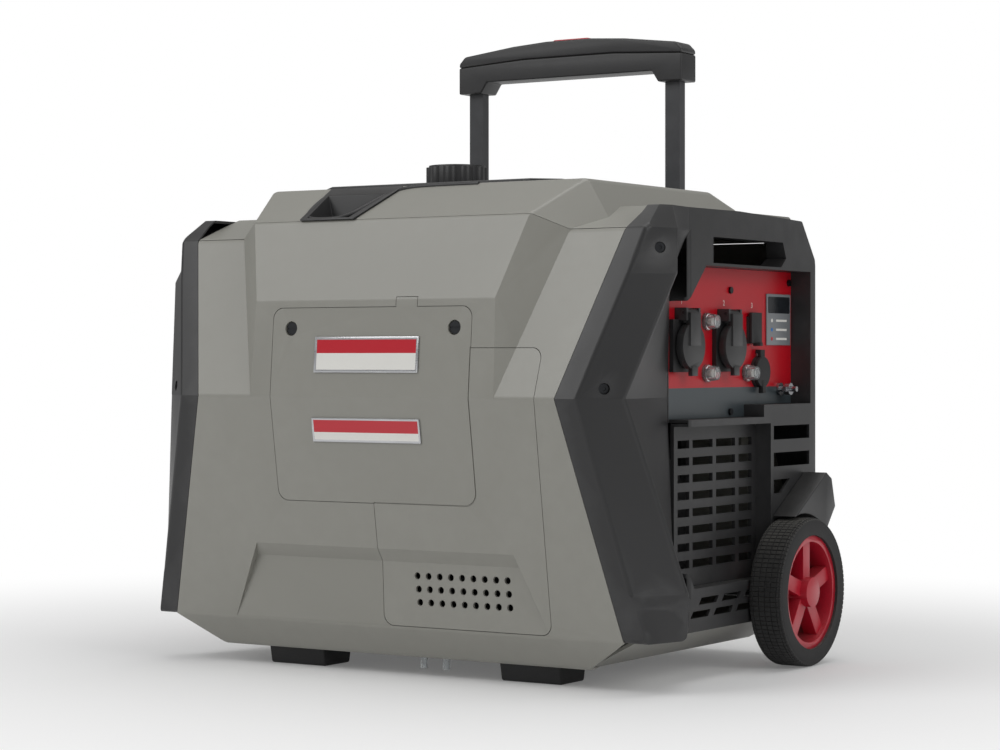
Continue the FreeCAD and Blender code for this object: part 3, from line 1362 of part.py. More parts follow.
def make_alternator():
    """Stator on the crankcase, rotor bell with fan blades, and fan shroud."""
    spot = ("shaft_y", "shaft_z")
    node(tube("X", "rotor_radius - 12", "32", ("case_x", "case_x + 44"), *spot), "stator")
    bell = rod("X", "rotor_radius", ("case_x + 8", "case_x + 60"), *spot)
    room = rod("X", "rotor_radius - 9", ("case_x + 7", "case_x + 52"), *spot)
    bore = rod("X", "shaft_radius", ("case_x", "case_x + 90"), *spot)
    blade = block(("case_x + 59", "case_x + 80"), ("shaft_y - 2", "shaft_y + 2"),
                  ("shaft_z + 24", "shaft_z + rotor_radius - 2"))
    blades = [turned(blade, ("0", "shaft_y", "shaft_z"), Vector(1, 0, 0), 30 * index)
              for index in range(12)]
    hub = rod("X", "26", ("case_x + 59", "case_x + 80"), *spot)
    node(cut(fuse(bell, hub, *blades), room, bore), "rotor")
    shroud = rod("X", "shroud_radius", ("case_x", "shroud_end_x"), *spot)
    inside = rod("X", "shroud_radius - 3", ("case_x - 1", "shroud_end_x - 3"), *spot)
    holes = [rod("X", "11", ("shroud_end_x - 8", "shroud_end_x + 5"),
                 f"shaft_y + 62 * cos({angle})", f"shaft_z + 62 * sin({angle})")
             for angle in range(0, 360, 30)]
    node(cut(shroud, inside, *holes), "fan_shroud")


def make_engine_room():
    """Muffler, air box with carburettor, and inverter."""
    muffler = profile("X", [("-2", "240"), ("104", "240"), ("104", "372"), ("-2", "372")],
                      ("-206", "-84"), "20")
    port = rod("X", "13", ("-86", "-34"), "shaft_y + 24", "case_high_z + 72")
    tail = rod("X", "20", ("-276", "-205"), "60", "330")
    bore = rod("X", "17", ("-280", "-200"), "60", "330")
    node(cut(fuse(muffler, port, tail), bore, cylinder_room()), "muffler")
    air = profile("X", [("-150", "262"), ("-30", "262"), ("-30", "392"), ("-150", "392")],
                  ("92", "204"), "12")
    node(air, "air_box")
    carb = fuse(rod("X", "14", ("cylinder_half", "92"), "-42", "300"),
                block(("54", "84"), ("-62", "-32"), ("272", "312")))
    node(carb, "carburettor")
    inverter = block(("-212", "-84"), ("-150", "20"), ("base_z + wall", "96"))
    fins = [block(("-212", "-84"), (f"-150 + {step}", f"-147 + {step}"), ("95", "112"))
            for step in range(0, 168, 12)]
    node(fuse(inverter, *fins), "inverter")


def cylinder_room():
    """Space of the cylinder's fins, kept clear by the exhaust port."""
    half = "cylinder_half"
    return block((f"-{half}", half), (f"shaft_y - {half}", f"shaft_y + {half}"),
                 ("case_high_z", "cylinder_top_z"))


def make_starter_grip():
    """Pull grip of the recoil starter, in the dish of the rear cover."""
    bar = profile("Z", [("126", "rear_y - 11"), ("194", "rear_y - 11"), ("194", "rear_y"), ("126", "rear_y")],
                  ("250", "270"), "5")
    stem = rod("Y", "6", ("rear_y - 20 + slip", "rear_y - 10"), "160", "260")
    return node(fuse(bar, stem), "starter_grip")


def check_document():
    """Stop if an object failed or a sub-part has no sound solid."""
    doc.recompute()
    for thing in doc.Objects:
        if "Invalid" in thing.State or "Error" in thing.State:
            raise RuntimeError(f"{thing.Name} ({thing.Label}) failed: {thing.State}")
    for name, thing in NODES:
        if thing.Shape.isNull() or not thing.Shape.isValid() or not thing.Shape.Solids:
            raise RuntimeError(f"{name} has no valid solid")


def write_parts():
    """Write each sub-part to its own file."""
    os.makedirs("parts", exist_ok=True)
    for name, thing in NODES:
        thing.Shape.exportStep(os.path.join("parts", f"{name}.step"))
    print(len(NODES), "sub-parts written")


make_covers()
make_base_tray()
make_end_cap("control_end_cap", 1, True)
make_end_cap("exhaust_end_cap", -1, False)
make_feet()
make_panel()
make_sockets()
make_breakers()
make_small_outlets()
make_earth_terminal()
make_plates()
make_cover_screws()
make_grille()
make_top_tray()
make_carry_grip()
make_fuel_system()
make_handle()
make_wheels()
make_wheel_guards()
make_fasteners()
make_engine()
make_engine_room()
make_starter_grip()
check_document()
write_parts()
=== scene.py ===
import json
import math

import bpy
from mathutils import Matrix, Vector

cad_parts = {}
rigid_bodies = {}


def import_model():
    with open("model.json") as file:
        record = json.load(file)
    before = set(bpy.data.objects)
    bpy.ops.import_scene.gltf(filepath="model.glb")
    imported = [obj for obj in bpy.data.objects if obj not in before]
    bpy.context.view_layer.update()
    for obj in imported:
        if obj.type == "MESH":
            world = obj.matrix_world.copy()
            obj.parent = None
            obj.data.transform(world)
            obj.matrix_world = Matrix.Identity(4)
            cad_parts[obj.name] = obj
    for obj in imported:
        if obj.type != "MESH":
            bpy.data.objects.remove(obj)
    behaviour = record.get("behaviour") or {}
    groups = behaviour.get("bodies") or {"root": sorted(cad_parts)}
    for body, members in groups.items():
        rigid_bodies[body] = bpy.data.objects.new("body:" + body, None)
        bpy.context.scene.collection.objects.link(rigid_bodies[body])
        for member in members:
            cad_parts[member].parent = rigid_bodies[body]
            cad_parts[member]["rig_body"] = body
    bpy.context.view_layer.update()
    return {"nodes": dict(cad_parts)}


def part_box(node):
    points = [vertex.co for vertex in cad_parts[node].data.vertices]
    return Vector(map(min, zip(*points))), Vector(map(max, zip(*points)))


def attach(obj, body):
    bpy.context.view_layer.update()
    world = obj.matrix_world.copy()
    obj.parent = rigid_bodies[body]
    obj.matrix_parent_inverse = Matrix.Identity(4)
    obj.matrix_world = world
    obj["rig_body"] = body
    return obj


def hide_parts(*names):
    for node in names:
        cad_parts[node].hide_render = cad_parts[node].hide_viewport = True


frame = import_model()
MM = 0.001


def colour(red, green, blue):
    """Scene colour from display values of 0 to 255, by the standard display curve."""
    parts = [value / 255 for value in (red, green, blue)]
    linear = [part / 12.92 if part <= 0.04045 else ((part + 0.055) / 1.055) ** 2.4 for part in parts]
    return (*linear, 1)


# ---------------------------------------------------------------- node groups

# The Mix node's colour sockets share their names with its other sockets, so they go by number.
MIX_FACTOR, MIX_FIRST, MIX_SECOND, MIX_RESULT = 0, 6, 7, 2
NOISE_MIDDLE = 0.5


def feed(tree, socket, value):
    """Joins an input to another node's output, or sets it to a plain value."""
    if isinstance(value, bpy.types.NodeSocket):
        tree.links.new(value, socket)
    else:
        socket.default_value = value


def add(tree, kind, inputs=None, **settings):
    """One shader node, its settings made and its inputs set or joined."""
    made = tree.nodes.new("ShaderNode" + kind)
    for name, value in settings.items():
        setattr(made, name, value)
    for name, value in (inputs or {}).items():
        feed(tree, made.inputs[name], value)
    return made


def start_group(name, inputs, outputs):
    """An empty node group with named sockets, and its input and output nodes."""
    group = bpy.data.node_groups.new(name, "ShaderNodeTree")
    for label, value in inputs.items():
        kind = "NodeSocketFloat" if isinstance(value, (int, float)) else "NodeSocketColor"
        group.interface.new_socket(label, in_out="INPUT", socket_type=kind).default_value = value
    for label, kind in outputs.items():
        group.interface.new_socket(label, in_out="OUTPUT", socket_type="NodeSocket" + kind)
    return group, group.nodes.new("NodeGroupInput"), group.nodes.new("NodeGroupOutput")


def put_out(group, out, values):
    """Joins what a group works out to its named outputs."""
    for name, value in values.items():
        group.links.new(value, out.inputs[name])


def math_node(tree, operation, first, second, clamp=False):
    """Result of one arithmetic step on two values."""
    return add(tree, "Math", {0: first, 1: second}, operation=operation, use_clamp=clamp).outputs[0]


def mixed(tree, factor, first, second):
    """Colour that goes from the first to the second as the factor goes from 0 to 1."""
    inputs = {MIX_FACTOR: factor, MIX_FIRST: first, MIX_SECOND: second}
    return add(tree, "Mix", inputs, data_type="RGBA").outputs[MIX_RESULT]


def make_grain():
    """Moulded grain: cloudy tone, cloudy gloss and a fine pebbled height."""
    group, given, out = start_group(
        "moulded_grain",
        {"Tone": colour(120, 120, 120), "Shade": colour(90, 90, 90), "Mottle": 0.3,
         "Roughness": 0.45, "Spread": 0.1, "Scale": 900.0},
        {"Tone": "Color", "Roughness": "Float", "Height": "Float"})
    where = add(group, "TexCoord").outputs["Object"]
    clouds = add(group, "TexNoise", {"Vector": where, "Scale": 7.0, "Detail": 5.0, "Roughness": 0.6})
    pebbles = add(group, "TexNoise", {"Vector": where, "Scale": given.outputs["Scale"], "Detail": 2.0})
    cells = add(group, "TexVoronoi", {"Vector": where, "Scale": given.outputs["Scale"]})
    share = math_node(group, "MULTIPLY", clouds.outputs["Fac"], given.outputs["Mottle"])
    tone = mixed(group, share, given.outputs["Tone"], given.outputs["Shade"])
    swing = math_node(group, "SUBTRACT", clouds.outputs["Fac"], NOISE_MIDDLE)
    swing = math_node(group, "MULTIPLY", swing, given.outputs["Spread"])
    rough = math_node(group, "ADD", given.outputs["Roughness"], swing, clamp=True)
    height = math_node(group, "ADD", pebbles.outputs["Fac"], cells.outputs["Distance"])
    put_out(group, out, {"Tone": tone, "Roughness": rough, "Height": height})
    return group


EDGE_START, EDGE_FULL = 0.51, 0.58


def make_wear():
    """Lighter rubbed tone along proud edges, broken up by noise."""
    group, given, out = start_group(
        "rubbed_edges", {"Tone": colour(120, 120, 120), "Rubbed": colour(190, 190, 190), "Amount": 0.3},
        {"Tone": "Color", "Mask": "Float"})
    where = add(group, "TexCoord").outputs["Object"]
    proud = add(group, "NewGeometry").outputs["Pointiness"]
    edge = add(group, "MapRange", {"Value": proud, "From Min": EDGE_START, "From Max": EDGE_FULL})
    patches = add(group, "TexNoise", {"Vector": where, "Scale": 60.0, "Detail": 4.0}).outputs["Fac"]
    mask = math_node(group, "MULTIPLY", edge.outputs["Result"], patches)
    mask = math_node(group, "MULTIPLY", mask, given.outputs["Amount"], clamp=True)
    tone = mixed(group, mask, given.outputs["Tone"], given.outputs["Rubbed"])
    put_out(group, out, {"Tone": tone, "Mask": mask})
    return group


DUST_FALLOFF = 2.0
DUST_ROUGHENS = 0.3


def make_dust():
    """Thin dust that lies on what faces up."""
    group, given, out = start_group(
        "settled_dust", {"Tone": colour(120, 120, 120), "Dust": colour(176, 172, 162), "Amount": 0.2,
                         "Roughness": 0.5},
        {"Tone": "Color", "Roughness": "Float"})
    where = add(group, "TexCoord").outputs["Object"]
    normal = add(group, "NewGeometry").outputs["Normal"]
    upward = add(group, "SeparateXYZ", {"Vector": normal}).outputs["Z"]
    upward = math_node(group, "POWER", math_node(group, "MAXIMUM", upward, 0.0), DUST_FALLOFF)
    specks = add(group, "TexNoise", {"Vector": where, "Scale": 35.0, "Detail": 6.0, "Roughness": 0.7})
    mask = math_node(group, "MULTIPLY", upward, specks.outputs["Fac"])
    mask = math_node(group, "MULTIPLY", mask, given.outputs["Amount"], clamp=True)
    tone = mixed(group, mask, given.outputs["Tone"], given.outputs["Dust"])
    added = math_node(group, "MULTIPLY", mask, DUST_ROUGHENS)
    rough = math_node(group, "ADD", given.outputs["Roughness"], added)
    put_out(group, out, {"Tone": tone, "Roughness": rough})
    return group


BRUSH_SPREAD = 0.4


def make_brush():
    """Metal with fine drawn lines and cloudy gloss."""
    group, given, out = start_group(
        "drawn_lines", {"Tone": colour(180, 180, 180), "Shade": colour(140, 140, 140), "Roughness": 0.3,
                        "Along": 40.0, "Across": 1600.0},
        {"Tone": "Color", "Roughness": "Float", "Height": "Float"})
    where = add(group, "TexCoord").outputs["Object"]
    stretch = add(group, "CombineXYZ", {"X": given.outputs["Along"], "Y": given.outputs["Across"],
                                        "Z": given.outputs["Across"]}).outputs["Vector"]
    drawn = add(group, "VectorMath", {0: where, 1: stretch}, operation="MULTIPLY").outputs["Vector"]
    lines = add(group, "TexNoise", {"Vector": drawn, "Scale": 1.0, "Detail": 3.0}).outputs["Fac"]
    clouds = add(group, "TexNoise", {"Vector": where, "Scale": 30.0, "Detail": 4.0}).outputs["Fac"]
    share = math_node(group, "MULTIPLY", math_node(group, "ADD", lines, clouds), 1 / 2)
    tone = mixed(group, share, given.outputs["Tone"], given.outputs["Shade"])
    swing = math_node(group, "SUBTRACT", share, NOISE_MIDDLE)
    swing = math_node(group, "MULTIPLY", swing, BRUSH_SPREAD)
    rough = math_node(group, "ADD", given.outputs["Roughness"], swing, clamp=True)
    put_out(group, out, {"Tone": tone, "Roughness": rough, "Height": lines})
    return group


GRAIN, WEAR, DUST, BRUSH = make_grain(), make_wear(), make_dust(), make_brush()


# ---------------------------------------------------------------- materials

PANEL_SPLIT = 0.3
BUMP_STRENGTH = 0.6
COAT_ROUGHNESS = 0.2
CLEAR_TRANSMISSION, CLEAR_IOR = 0.9, 1.45


def place_group(tree, group, inputs):
    """Outputs of a node group placed in a material with its own values."""
    return add(tree, "Group", inputs, node_tree=group).outputs


def blank(name):
    """A new material, its node tree and its one bare shader."""
    material = bpy.data.materials.new(name)
    material.use_nodes = True
    return material, material.node_tree, material.node_tree.nodes["Principled BSDF"]


def dress(tree, shader, skin, height, depth):
    """Feeds a group's tone and roughness, and a relief of some depth, to the shader."""
    bump = add(tree, "Bump", {"Height": height, "Distance": depth, "Strength": BUMP_STRENGTH})
    tree.links.new(skin["Tone"], shader.inputs["Base Color"])
    tree.links.new(skin["Roughness"], shader.inputs["Roughness"])
    tree.links.new(bump.outputs["Normal"], shader.inputs["Normal"])


def moulding(name, tone, shade, roughness=0.45, mottle=0.35, spread=0.12, scale=900.0, depth=0.05 * MM,
             rubbed=None, wear=0.35, dust=0.12, coat=0.0, split=None):
    """Moulded plastic, rubber or paint: grain, rubbed edges and dust over one base tone."""
    material, tree, shader = blank(name)
    if split:
        tone, shade = panel_tones(tree, tone, split[0]), panel_tones(tree, shade, split[1])
    grain = place_group(tree, GRAIN, {"Tone": tone, "Shade": shade, "Mottle": mottle,
                                      "Roughness": roughness, "Spread": spread, "Scale": scale})
    worn = place_group(tree, WEAR, {"Tone": grain["Tone"], "Rubbed": rubbed or grain["Tone"],
                                    "Amount": wear})
    dusty = place_group(tree, DUST, {"Tone": worn["Tone"], "Roughness": grain["Roughness"],
                                     "Amount": dust})
    shader.inputs["Coat Weight"].default_value = coat
    shader.inputs["Coat Roughness"].default_value = COAT_ROUGHNESS
    dress(tree, shader, dusty, grain["Height"], depth)
    return material


def metal(name, tone, shade, roughness=0.3, along=40.0, across=1600.0, depth=0.02 * MM, dust=0.08):
    """Bare metal with drawn lines and a little dust."""
    material, tree, shader = blank(name)
    drawn = place_group(tree, BRUSH, {"Tone": tone, "Shade": shade, "Roughness": roughness,
                                      "Along": along, "Across": across})
    dusty = place_group(tree, DUST, {"Tone": drawn["Tone"], "Roughness": drawn["Roughness"],
                                     "Amount": dust})
    shader.inputs["Metallic"].default_value = 1.0
    dress(tree, shader, dusty, drawn["Height"], depth)
    return material


def clear(name):
    """Clear plastic with slightly hazy patches."""
    material, tree, shader = blank(name)
    grain = place_group(tree, GRAIN, {"Tone": colour(240, 243, 244), "Shade": colour(214, 219, 221),
                                      "Mottle": 0.5, "Roughness": 0.08, "Spread": 0.1, "Scale": 300.0})
    shader.inputs["Transmission Weight"].default_value = CLEAR_TRANSMISSION
    shader.inputs["IOR"].default_value = CLEAR_IOR
    dress(tree, shader, grain, grain["Height"], 0.02 * MM)
    return material


def panel_tones(tree, upper, lower):
    """One tone above the panel's dividing line and another below it."""
    height = add(tree, "SeparateXYZ", {"Vector": add(tree, "TexCoord").outputs["Object"]}).outputs["Z"]
    return mixed(tree, math_node(tree, "LESS_THAN", height, PANEL_SPLIT), upper, lower)


FINISHES = {
    "body_grey": moulding("cover_grey", colour(138, 137, 130), colour(128, 127, 120), 0.42, mottle=0.2,
                          spread=0.06, coat=0.12, rubbed=colour(170, 169, 163), scale=1400.0,
                          depth=0.03 * MM, dust=0.06, wear=0.2),
    "black_plastic": moulding("satin_black", colour(37, 37, 38), colour(27, 27, 28), 0.44,
                              rubbed=colour(80, 80, 81), dust=0.06, wear=0.5),
    "panel_red": moulding("panel_enamel", colour(184, 2, 24), colour(150, 2, 20), 0.34, mottle=0.3,
                          coat=0.05, scale=700.0, dust=0.02,
                          split=(colour(62, 70, 74), colour(52, 59, 63))),
    "red_plastic": moulding("wheel_red", colour(182, 18, 42), colour(140, 10, 30), 0.36,
                            rubbed=colour(214, 80, 90), dust=0.14, coat=0.15),
    "soft_rubber": moulding("soft_rubber", colour(30, 30, 31), colour(20, 20, 21), 0.62,
                            rubbed=colour(62, 62, 63), scale=600.0),
    "tyre_rubber": moulding("tyre_rubber", colour(34, 34, 35), colour(22, 22, 23), 0.72, spread=0.2,
                            rubbed=colour(70, 69, 67), scale=500.0, depth=0.1 * MM, dust=0.3),
    "clear_plastic": clear("clear_boot"),
    "button_white": moulding("button_white", colour(222, 220, 212), colour(196, 193, 184), 0.35),
    "plated_steel": metal("plated_steel", colour(196, 197, 200), colour(150, 151, 155), 0.24),
    "painted_tube": moulding("painted_tube", colour(44, 45, 48), colour(30, 31, 34), 0.34, coat=0.25,
                             rubbed=colour(96, 97, 100), scale=1200.0, depth=0.03 * MM),
    "plate_silver": metal("plate_silver", colour(206, 207, 209), colour(164, 165, 168), 0.3),
    "plate_grey": moulding("plate_grey", colour(128, 131, 134), colour(104, 108, 112), 0.4),
    "dark_zinc": metal("dark_zinc", colour(70, 71, 73), colour(44, 45, 47), 0.4),
    "field_white": moulding("field_white", colour(226, 225, 220), colour(208, 206, 200), 0.35, mottle=0.15),
    "field_red": moulding("field_red", colour(190, 8, 34), colour(160, 6, 28), 0.3, mottle=0.2, coat=0.3),
    "window_dark": moulding("window_dark", colour(26, 30, 34), colour(16, 19, 22), 0.16, mottle=0.2,
                            wear=0.0),
    "mark_blue": moulding("mark_blue", colour(24, 112, 190), colour(14, 84, 150), 0.35, mottle=0.2),
    "brass": metal("contact_brass", colour(206, 168, 96), colour(160, 124, 64), 0.28),
    "cast_aluminium": metal("cast_aluminium", colour(158, 160, 162), colour(112, 114, 117), 0.5,
                            along=500.0, across=500.0, depth=0.1 * MM, dust=0.3),
    "tank_steel": metal("tank_steel", colour(120, 122, 126), colour(88, 90, 94), 0.42),
    "magnet_steel": metal("magnet_steel", colour(110, 108, 106), colour(72, 70, 68), 0.45),
}


def finish_nodes():
    """Gives every CAD node the finish of its slot, and the screws a dark one."""
    for piece in frame["nodes"].values():
        slot = piece.material_slots[0].material.name.split(".")[0]
        piece.material_slots[0].material = FINISHES[slot]
        piece["finish"] = slot
    for name in ("housing_screws", "cover_screw_left", "cover_screw_right"):
        frame["nodes"][name].material_slots[0].material = FINISHES["dark_zinc"]


finish_nodes()


# ---------------------------------------------------------------- tools

WELD = 0.02 * MM
FLAT_TURN = 0.5
SMOOTH_TURN = 35
BEVEL_TURN = 30


def activate(piece):
    """Makes one piece the only one that operators act on."""
    bpy.ops.object.select_all(action="DESELECT")
    piece.select_set(True)
    bpy.context.view_layer.objects.active = piece


def pick(piece, kind, test):
    """Opens edit mode with only the vertices, edges or faces that pass a test selected."""
    activate(piece)
    bpy.ops.object.mode_set(mode="EDIT")
    bpy.ops.mesh.select_mode(type=kind)
    bpy.ops.mesh.select_all(action="DESELECT")
    bpy.ops.object.mode_set(mode="OBJECT")
    mesh = piece.data
    for part in {"VERT": mesh.vertices, "EDGE": mesh.edges, "FACE": mesh.polygons}[kind]:
        part.select = test(mesh, part)
    bpy.ops.object.mode_set(mode="EDIT")


def close(piece, angle=SMOOTH_TURN):
    """Back to object mode with the place in the mesh and smooth shading up to an angle."""
    bpy.ops.object.mode_set(mode="OBJECT")
    activate(piece)
    bpy.ops.object.transform_apply(location=True, rotation=True, scale=True)
    bpy.ops.object.shade_smooth_by_angle(angle=math.radians(angle))
    return piece


def modify(piece, kind, **settings):
    """Adds a modifier and applies it."""
    activate(piece)
    added = piece.modifiers.new(kind.lower(), kind)
    for name, value in settings.items():
        setattr(added, name, value)
    bpy.ops.object.modifier_apply(modifier=added.name)


def bevel(piece, width, segments, angle=BEVEL_TURN):
    """Rounds the edges that turn by more than an angle in degrees."""
    modify(piece, "BEVEL", width=width, segments=segments, limit_method="ANGLE",
           angle_limit=math.radians(angle), use_clamp_overlap=True, harden_normals=False)


def merged_copy(node, name):
    """Joined-up copy of a CAD node's mesh, its flat faces made whole."""
    source = frame["nodes"][node]
    piece = bpy.data.objects.new(name, source.data.copy())
    bpy.context.scene.collection.objects.link(piece)
    activate(piece)
    bpy.ops.object.mode_set(mode="EDIT")
    bpy.ops.mesh.select_all(action="SELECT")
    bpy.ops.mesh.customdata_custom_splitnormals_clear()
    bpy.ops.mesh.remove_doubles(threshold=WELD)
    bpy.ops.mesh.dissolve_limited(angle_limit=math.radians(FLAT_TURN))
    bpy.ops.object.mode_set(mode="OBJECT")
    return piece


def adopt(piece, node, *more):
    """Lets a piece stand for CAD nodes, on the first one's body, and hides the nodes."""
    source = frame["nodes"][node]
    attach(piece, source["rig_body"])
    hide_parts(node, *more)


def soften(node, width, segments):
    """Stands a copy with rounded edges in for a CAD node."""
    piece = merged_copy(node, "soft_" + node)
    bevel(piece, width, segments)
    close(piece)
    adopt(piece, node)


# ---------------------------------------------------------------- stage

FLOOR_SIZE = 14
FLOOR_TONE = (0.9, 0.9, 0.9, 1)
FLOOR_ROUGHNESS = 0.6
WHITE_NEAR = 0.12
FADE_START, FADE_END = 0.35, 1.3
FILL_LEVEL = 0.34
AIM = (0, 0, 0.3)

# Each lamp's name, place in metres, width in metres and power in watts.
LAMPS = (
    ("key_softbox", (-1.6, -2.6, 2.6), 2.2, 50),
    ("end_softbox", (3.0, -0.6, 1.8), 1.6, 22),
    ("top_softbox", (0.2, 0.4, 3.0), 2.4, 32))

CAMERA_PLACE = (1.534, -2.367, 0.331)
CAMERA_LEVEL, CAMERA_TURN = 90, 32.7
FOCAL_LENGTH, SENSOR_WIDTH, LENS_SHIFT = 92.4, 36, -0.017


def make_floor():
    """Pale floor that fades into the white background with distance, and keeps the shadow."""
    bpy.ops.object.select_all(action="DESELECT")
    bpy.ops.mesh.primitive_plane_add(size=FLOOR_SIZE)
    floor = bpy.context.object
    floor.name = "studio_floor"
    material, tree, shader = blank("studio_floor")
    shader.inputs["Base Color"].default_value = FLOOR_TONE
    shader.inputs["Roughness"].default_value = FLOOR_ROUGHNESS
    path = add(tree, "LightPath")
    seen = math_node(tree, "MAXIMUM", path.outputs["Is Camera Ray"], path.outputs["Is Glossy Ray"])
    seen = math_node(tree, "MAXIMUM", seen, path.outputs["Is Transmission Ray"])
    where = add(tree, "TexCoord").outputs["Object"]
    far = add(tree, "VectorMath", {0: where}, operation="LENGTH").outputs["Value"]
    share = add(tree, "MapRange", {"Value": far, "From Min": FADE_START, "From Max": FADE_END,
                                   "To Min": WHITE_NEAR},
                interpolation_type="SMOOTHSTEP").outputs["Result"]
    white = add(tree, "Emission").outputs[0]
    total = add(tree, "MixShader", {0: math_node(tree, "MULTIPLY", seen, share), 1: shader.outputs[0],
                                    2: white})
    tree.links.new(total.outputs[0], tree.nodes["Material Output"].inputs["Surface"])
    floor.data.materials.append(material)


def make_world():
    """White where it is seen, and a soft even fill where it lights the object."""
    world = bpy.data.worlds.new("studio")
    bpy.context.scene.world = world
    world.use_nodes = True
    tree = world.node_tree
    path = add(tree, "LightPath")
    seen = math_node(tree, "MAXIMUM", path.outputs["Is Camera Ray"], path.outputs["Is Transmission Ray"])
    back = tree.nodes["Background"]
    back.inputs["Color"].default_value = (1, 1, 1, 1)
    tree.links.new(math_node(tree, "MAXIMUM", seen, FILL_LEVEL), back.inputs["Strength"])


def make_lamp(name, place, size, power):
    """Square softbox at a place, turned to face the middle of the object."""
    lamp = bpy.data.lights.new(name, "AREA")
    lamp.size, lamp.energy = size, power
    holder = bpy.data.objects.new(name, lamp)
    holder.location = place
    holder.rotation_euler = (Vector(AIM) - Vector(place)).to_track_quat("-Z", "Y").to_euler()
    bpy.context.scene.collection.objects.link(holder)


def make_camera():
    """Long lens held level, low down beyond the service front and the panel end."""
    lens = bpy.data.cameras.new("camera")
    lens.lens, lens.sensor_width, lens.shift_y = FOCAL_LENGTH, SENSOR_WIDTH, LENS_SHIFT
    holder = bpy.data.objects.new("camera", lens)
    holder.location = CAMERA_PLACE
    holder.rotation_euler = (math.radians(CAMERA_LEVEL), 0, math.radians(CAMERA_TURN))
    bpy.context.scene.collection.objects.link(holder)
    bpy.context.scene.camera = holder


make_floor()
make_world()
for lamp_row in LAMPS:
    make_lamp(*lamp_row)
make_camera()
bpy.context.scene.view_settings.view_transform = "Standard"


# ---------------------------------------------------------------- plain softened pieces

# Each CAD node, the width of its rounded edges in millimetres and how many steps round them.
SOFTENED = (
    ("grip_lower", 6, 4), ("grip_upper", 6, 4), ("release_button", 2, 3), ("fuel_cap", 1.2, 2),
    ("feet", 2.5, 3), ("usb_cover", 1.4, 2), ("dc_cover", 1.2, 2), ("wheel_guards", 3, 3),
    ("rim_left", 1.2, 2), ("rim_right", 1.2, 2), ("carry_grip", 3, 3), ("socket_lid_1", 1.2, 2),
    ("socket_lid_2", 1.2, 2), ("indicator_plate", 0.5, 2), ("top_tray", 1.5, 2), ("starter_grip", 2, 2))
for node, width, segments in SOFTENED:
    soften(node, width * MM, segments)


# ---------------------------------------------------------------- tyres

TREAD_COUNT = 96
TREAD_ROWS = 4
TREAD_DEPTH = 1.1 * MM
TREAD_REACH = 3.2 * MM
BLOCK_GAP = 0.6 * MM
SHOULDER = 5 * MM
SLACK = 0.1 * MM
FLANK_NORMAL, SHOULDER_NORMAL = 0.9, 0.8
BLOCK_TURN = 25


def radius_at(point, centre):
    """Distance of a point from the wheel's own axis."""
    return math.hypot(point[1] - centre[1], point[2] - centre[2])


def edge_ends(mesh, edge):
    """Places of an edge's two ends."""
    return [mesh.vertices[index].co for index in edge.vertices]


def tread_width(mesh, edge, centre, outer):
    """How far an edge of the tread's face runs along the axle, or None for any other edge."""
    first, second = edge_ends(mesh, edge)
    if min(radius_at(first, centre), radius_at(second, centre)) <= outer - SLACK:
        return None
    return abs(first.x - second.x)


def goes_round(width):
    """Whether an edge of that tread width follows the tyre round."""
    return width is not None and width < MM


def goes_across(width):
    """Whether an edge of that tread width spans the tread from shoulder to shoulder."""
    return width is not None and width > SHOULDER


def make_tyre(node, name):
    """Tyre with rounded shoulders and rows of small blocks round the tread."""
    low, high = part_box(node)
    rim_low, rim_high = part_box(node.replace("tyre", "rim"))
    centre = (low + high) / 2
    outer, bore = (high.z - low.z) / 2 - TREAD_DEPTH, (rim_high.z - rim_low.z) / 2
    bpy.ops.object.select_all(action="DESELECT")
    bpy.ops.mesh.primitive_cylinder_add(
        vertices=TREAD_COUNT, radius=outer, depth=high.x - low.x, location=centre,
        rotation=(0, math.radians(90), 0))
    piece = bpy.context.object
    piece.name = name
    close(piece)
    pick(piece, "FACE", lambda mesh, face: abs(face.normal.x) > FLANK_NORMAL)
    bpy.ops.mesh.inset(thickness=outer - bore)
    bpy.ops.mesh.delete(type="FACE")
    close(piece)
    pick(piece, "EDGE", lambda mesh, edge: all(
        radius_at(end, centre) < bore + MM for end in edge_ends(mesh, edge)))
    bpy.ops.mesh.bridge_edge_loops()
    close(piece)
    pick(piece, "EDGE", lambda mesh, edge: goes_round(tread_width(mesh, edge, centre, outer)))
    bpy.ops.mesh.bevel(offset=SHOULDER, segments=3, profile=0.6)
    close(piece)
    pick(piece, "EDGE", lambda mesh, edge: goes_across(tread_width(mesh, edge, centre, outer)))
    bpy.ops.mesh.subdivide(number_cuts=TREAD_ROWS - 1)
    close(piece)
    pick(piece, "FACE", lambda mesh, face: radius_at(face.center, centre) > outer - TREAD_REACH
         and abs(face.normal.x) < SHOULDER_NORMAL)
    bpy.ops.mesh.inset(thickness=BLOCK_GAP, depth=TREAD_DEPTH, use_individual=True,
                       use_even_offset=True)
    close(piece, BLOCK_TURN)
    piece.data.materials.append(FINISHES["tyre_rubber"])
    return piece


def middle(node):
    """Middle of a CAD node's box."""
    low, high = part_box(node)
    return (low + high) / 2


def make_twin(piece, node, twin_node, name):
    """Copy of a node's piece, with its own mesh, at the middle of the node's twin."""
    twin = bpy.data.objects.new(name, piece.data.copy())
    twin.data.transform(Matrix.Translation(middle(twin_node) - middle(node)))
    bpy.context.scene.collection.objects.link(twin)
    return twin


left_tyre = make_tyre("tyre_left", "treaded_tyre_left")
right_tyre = make_twin(left_tyre, "tyre_left", "tyre_right", "treaded_tyre_right")
adopt(left_tyre, "tyre_left")
adopt(right_tyre, "tyre_right")


# ---------------------------------------------------------------- plates and marks

OUTLINE_STEPS = 5
RIM_STEPS, RIM_TURN = 2, 60
MARK_SUNK, MARK_PROUD, MARK_EDGE = 0.2 * MM, 0.3 * MM, 0.1 * MM


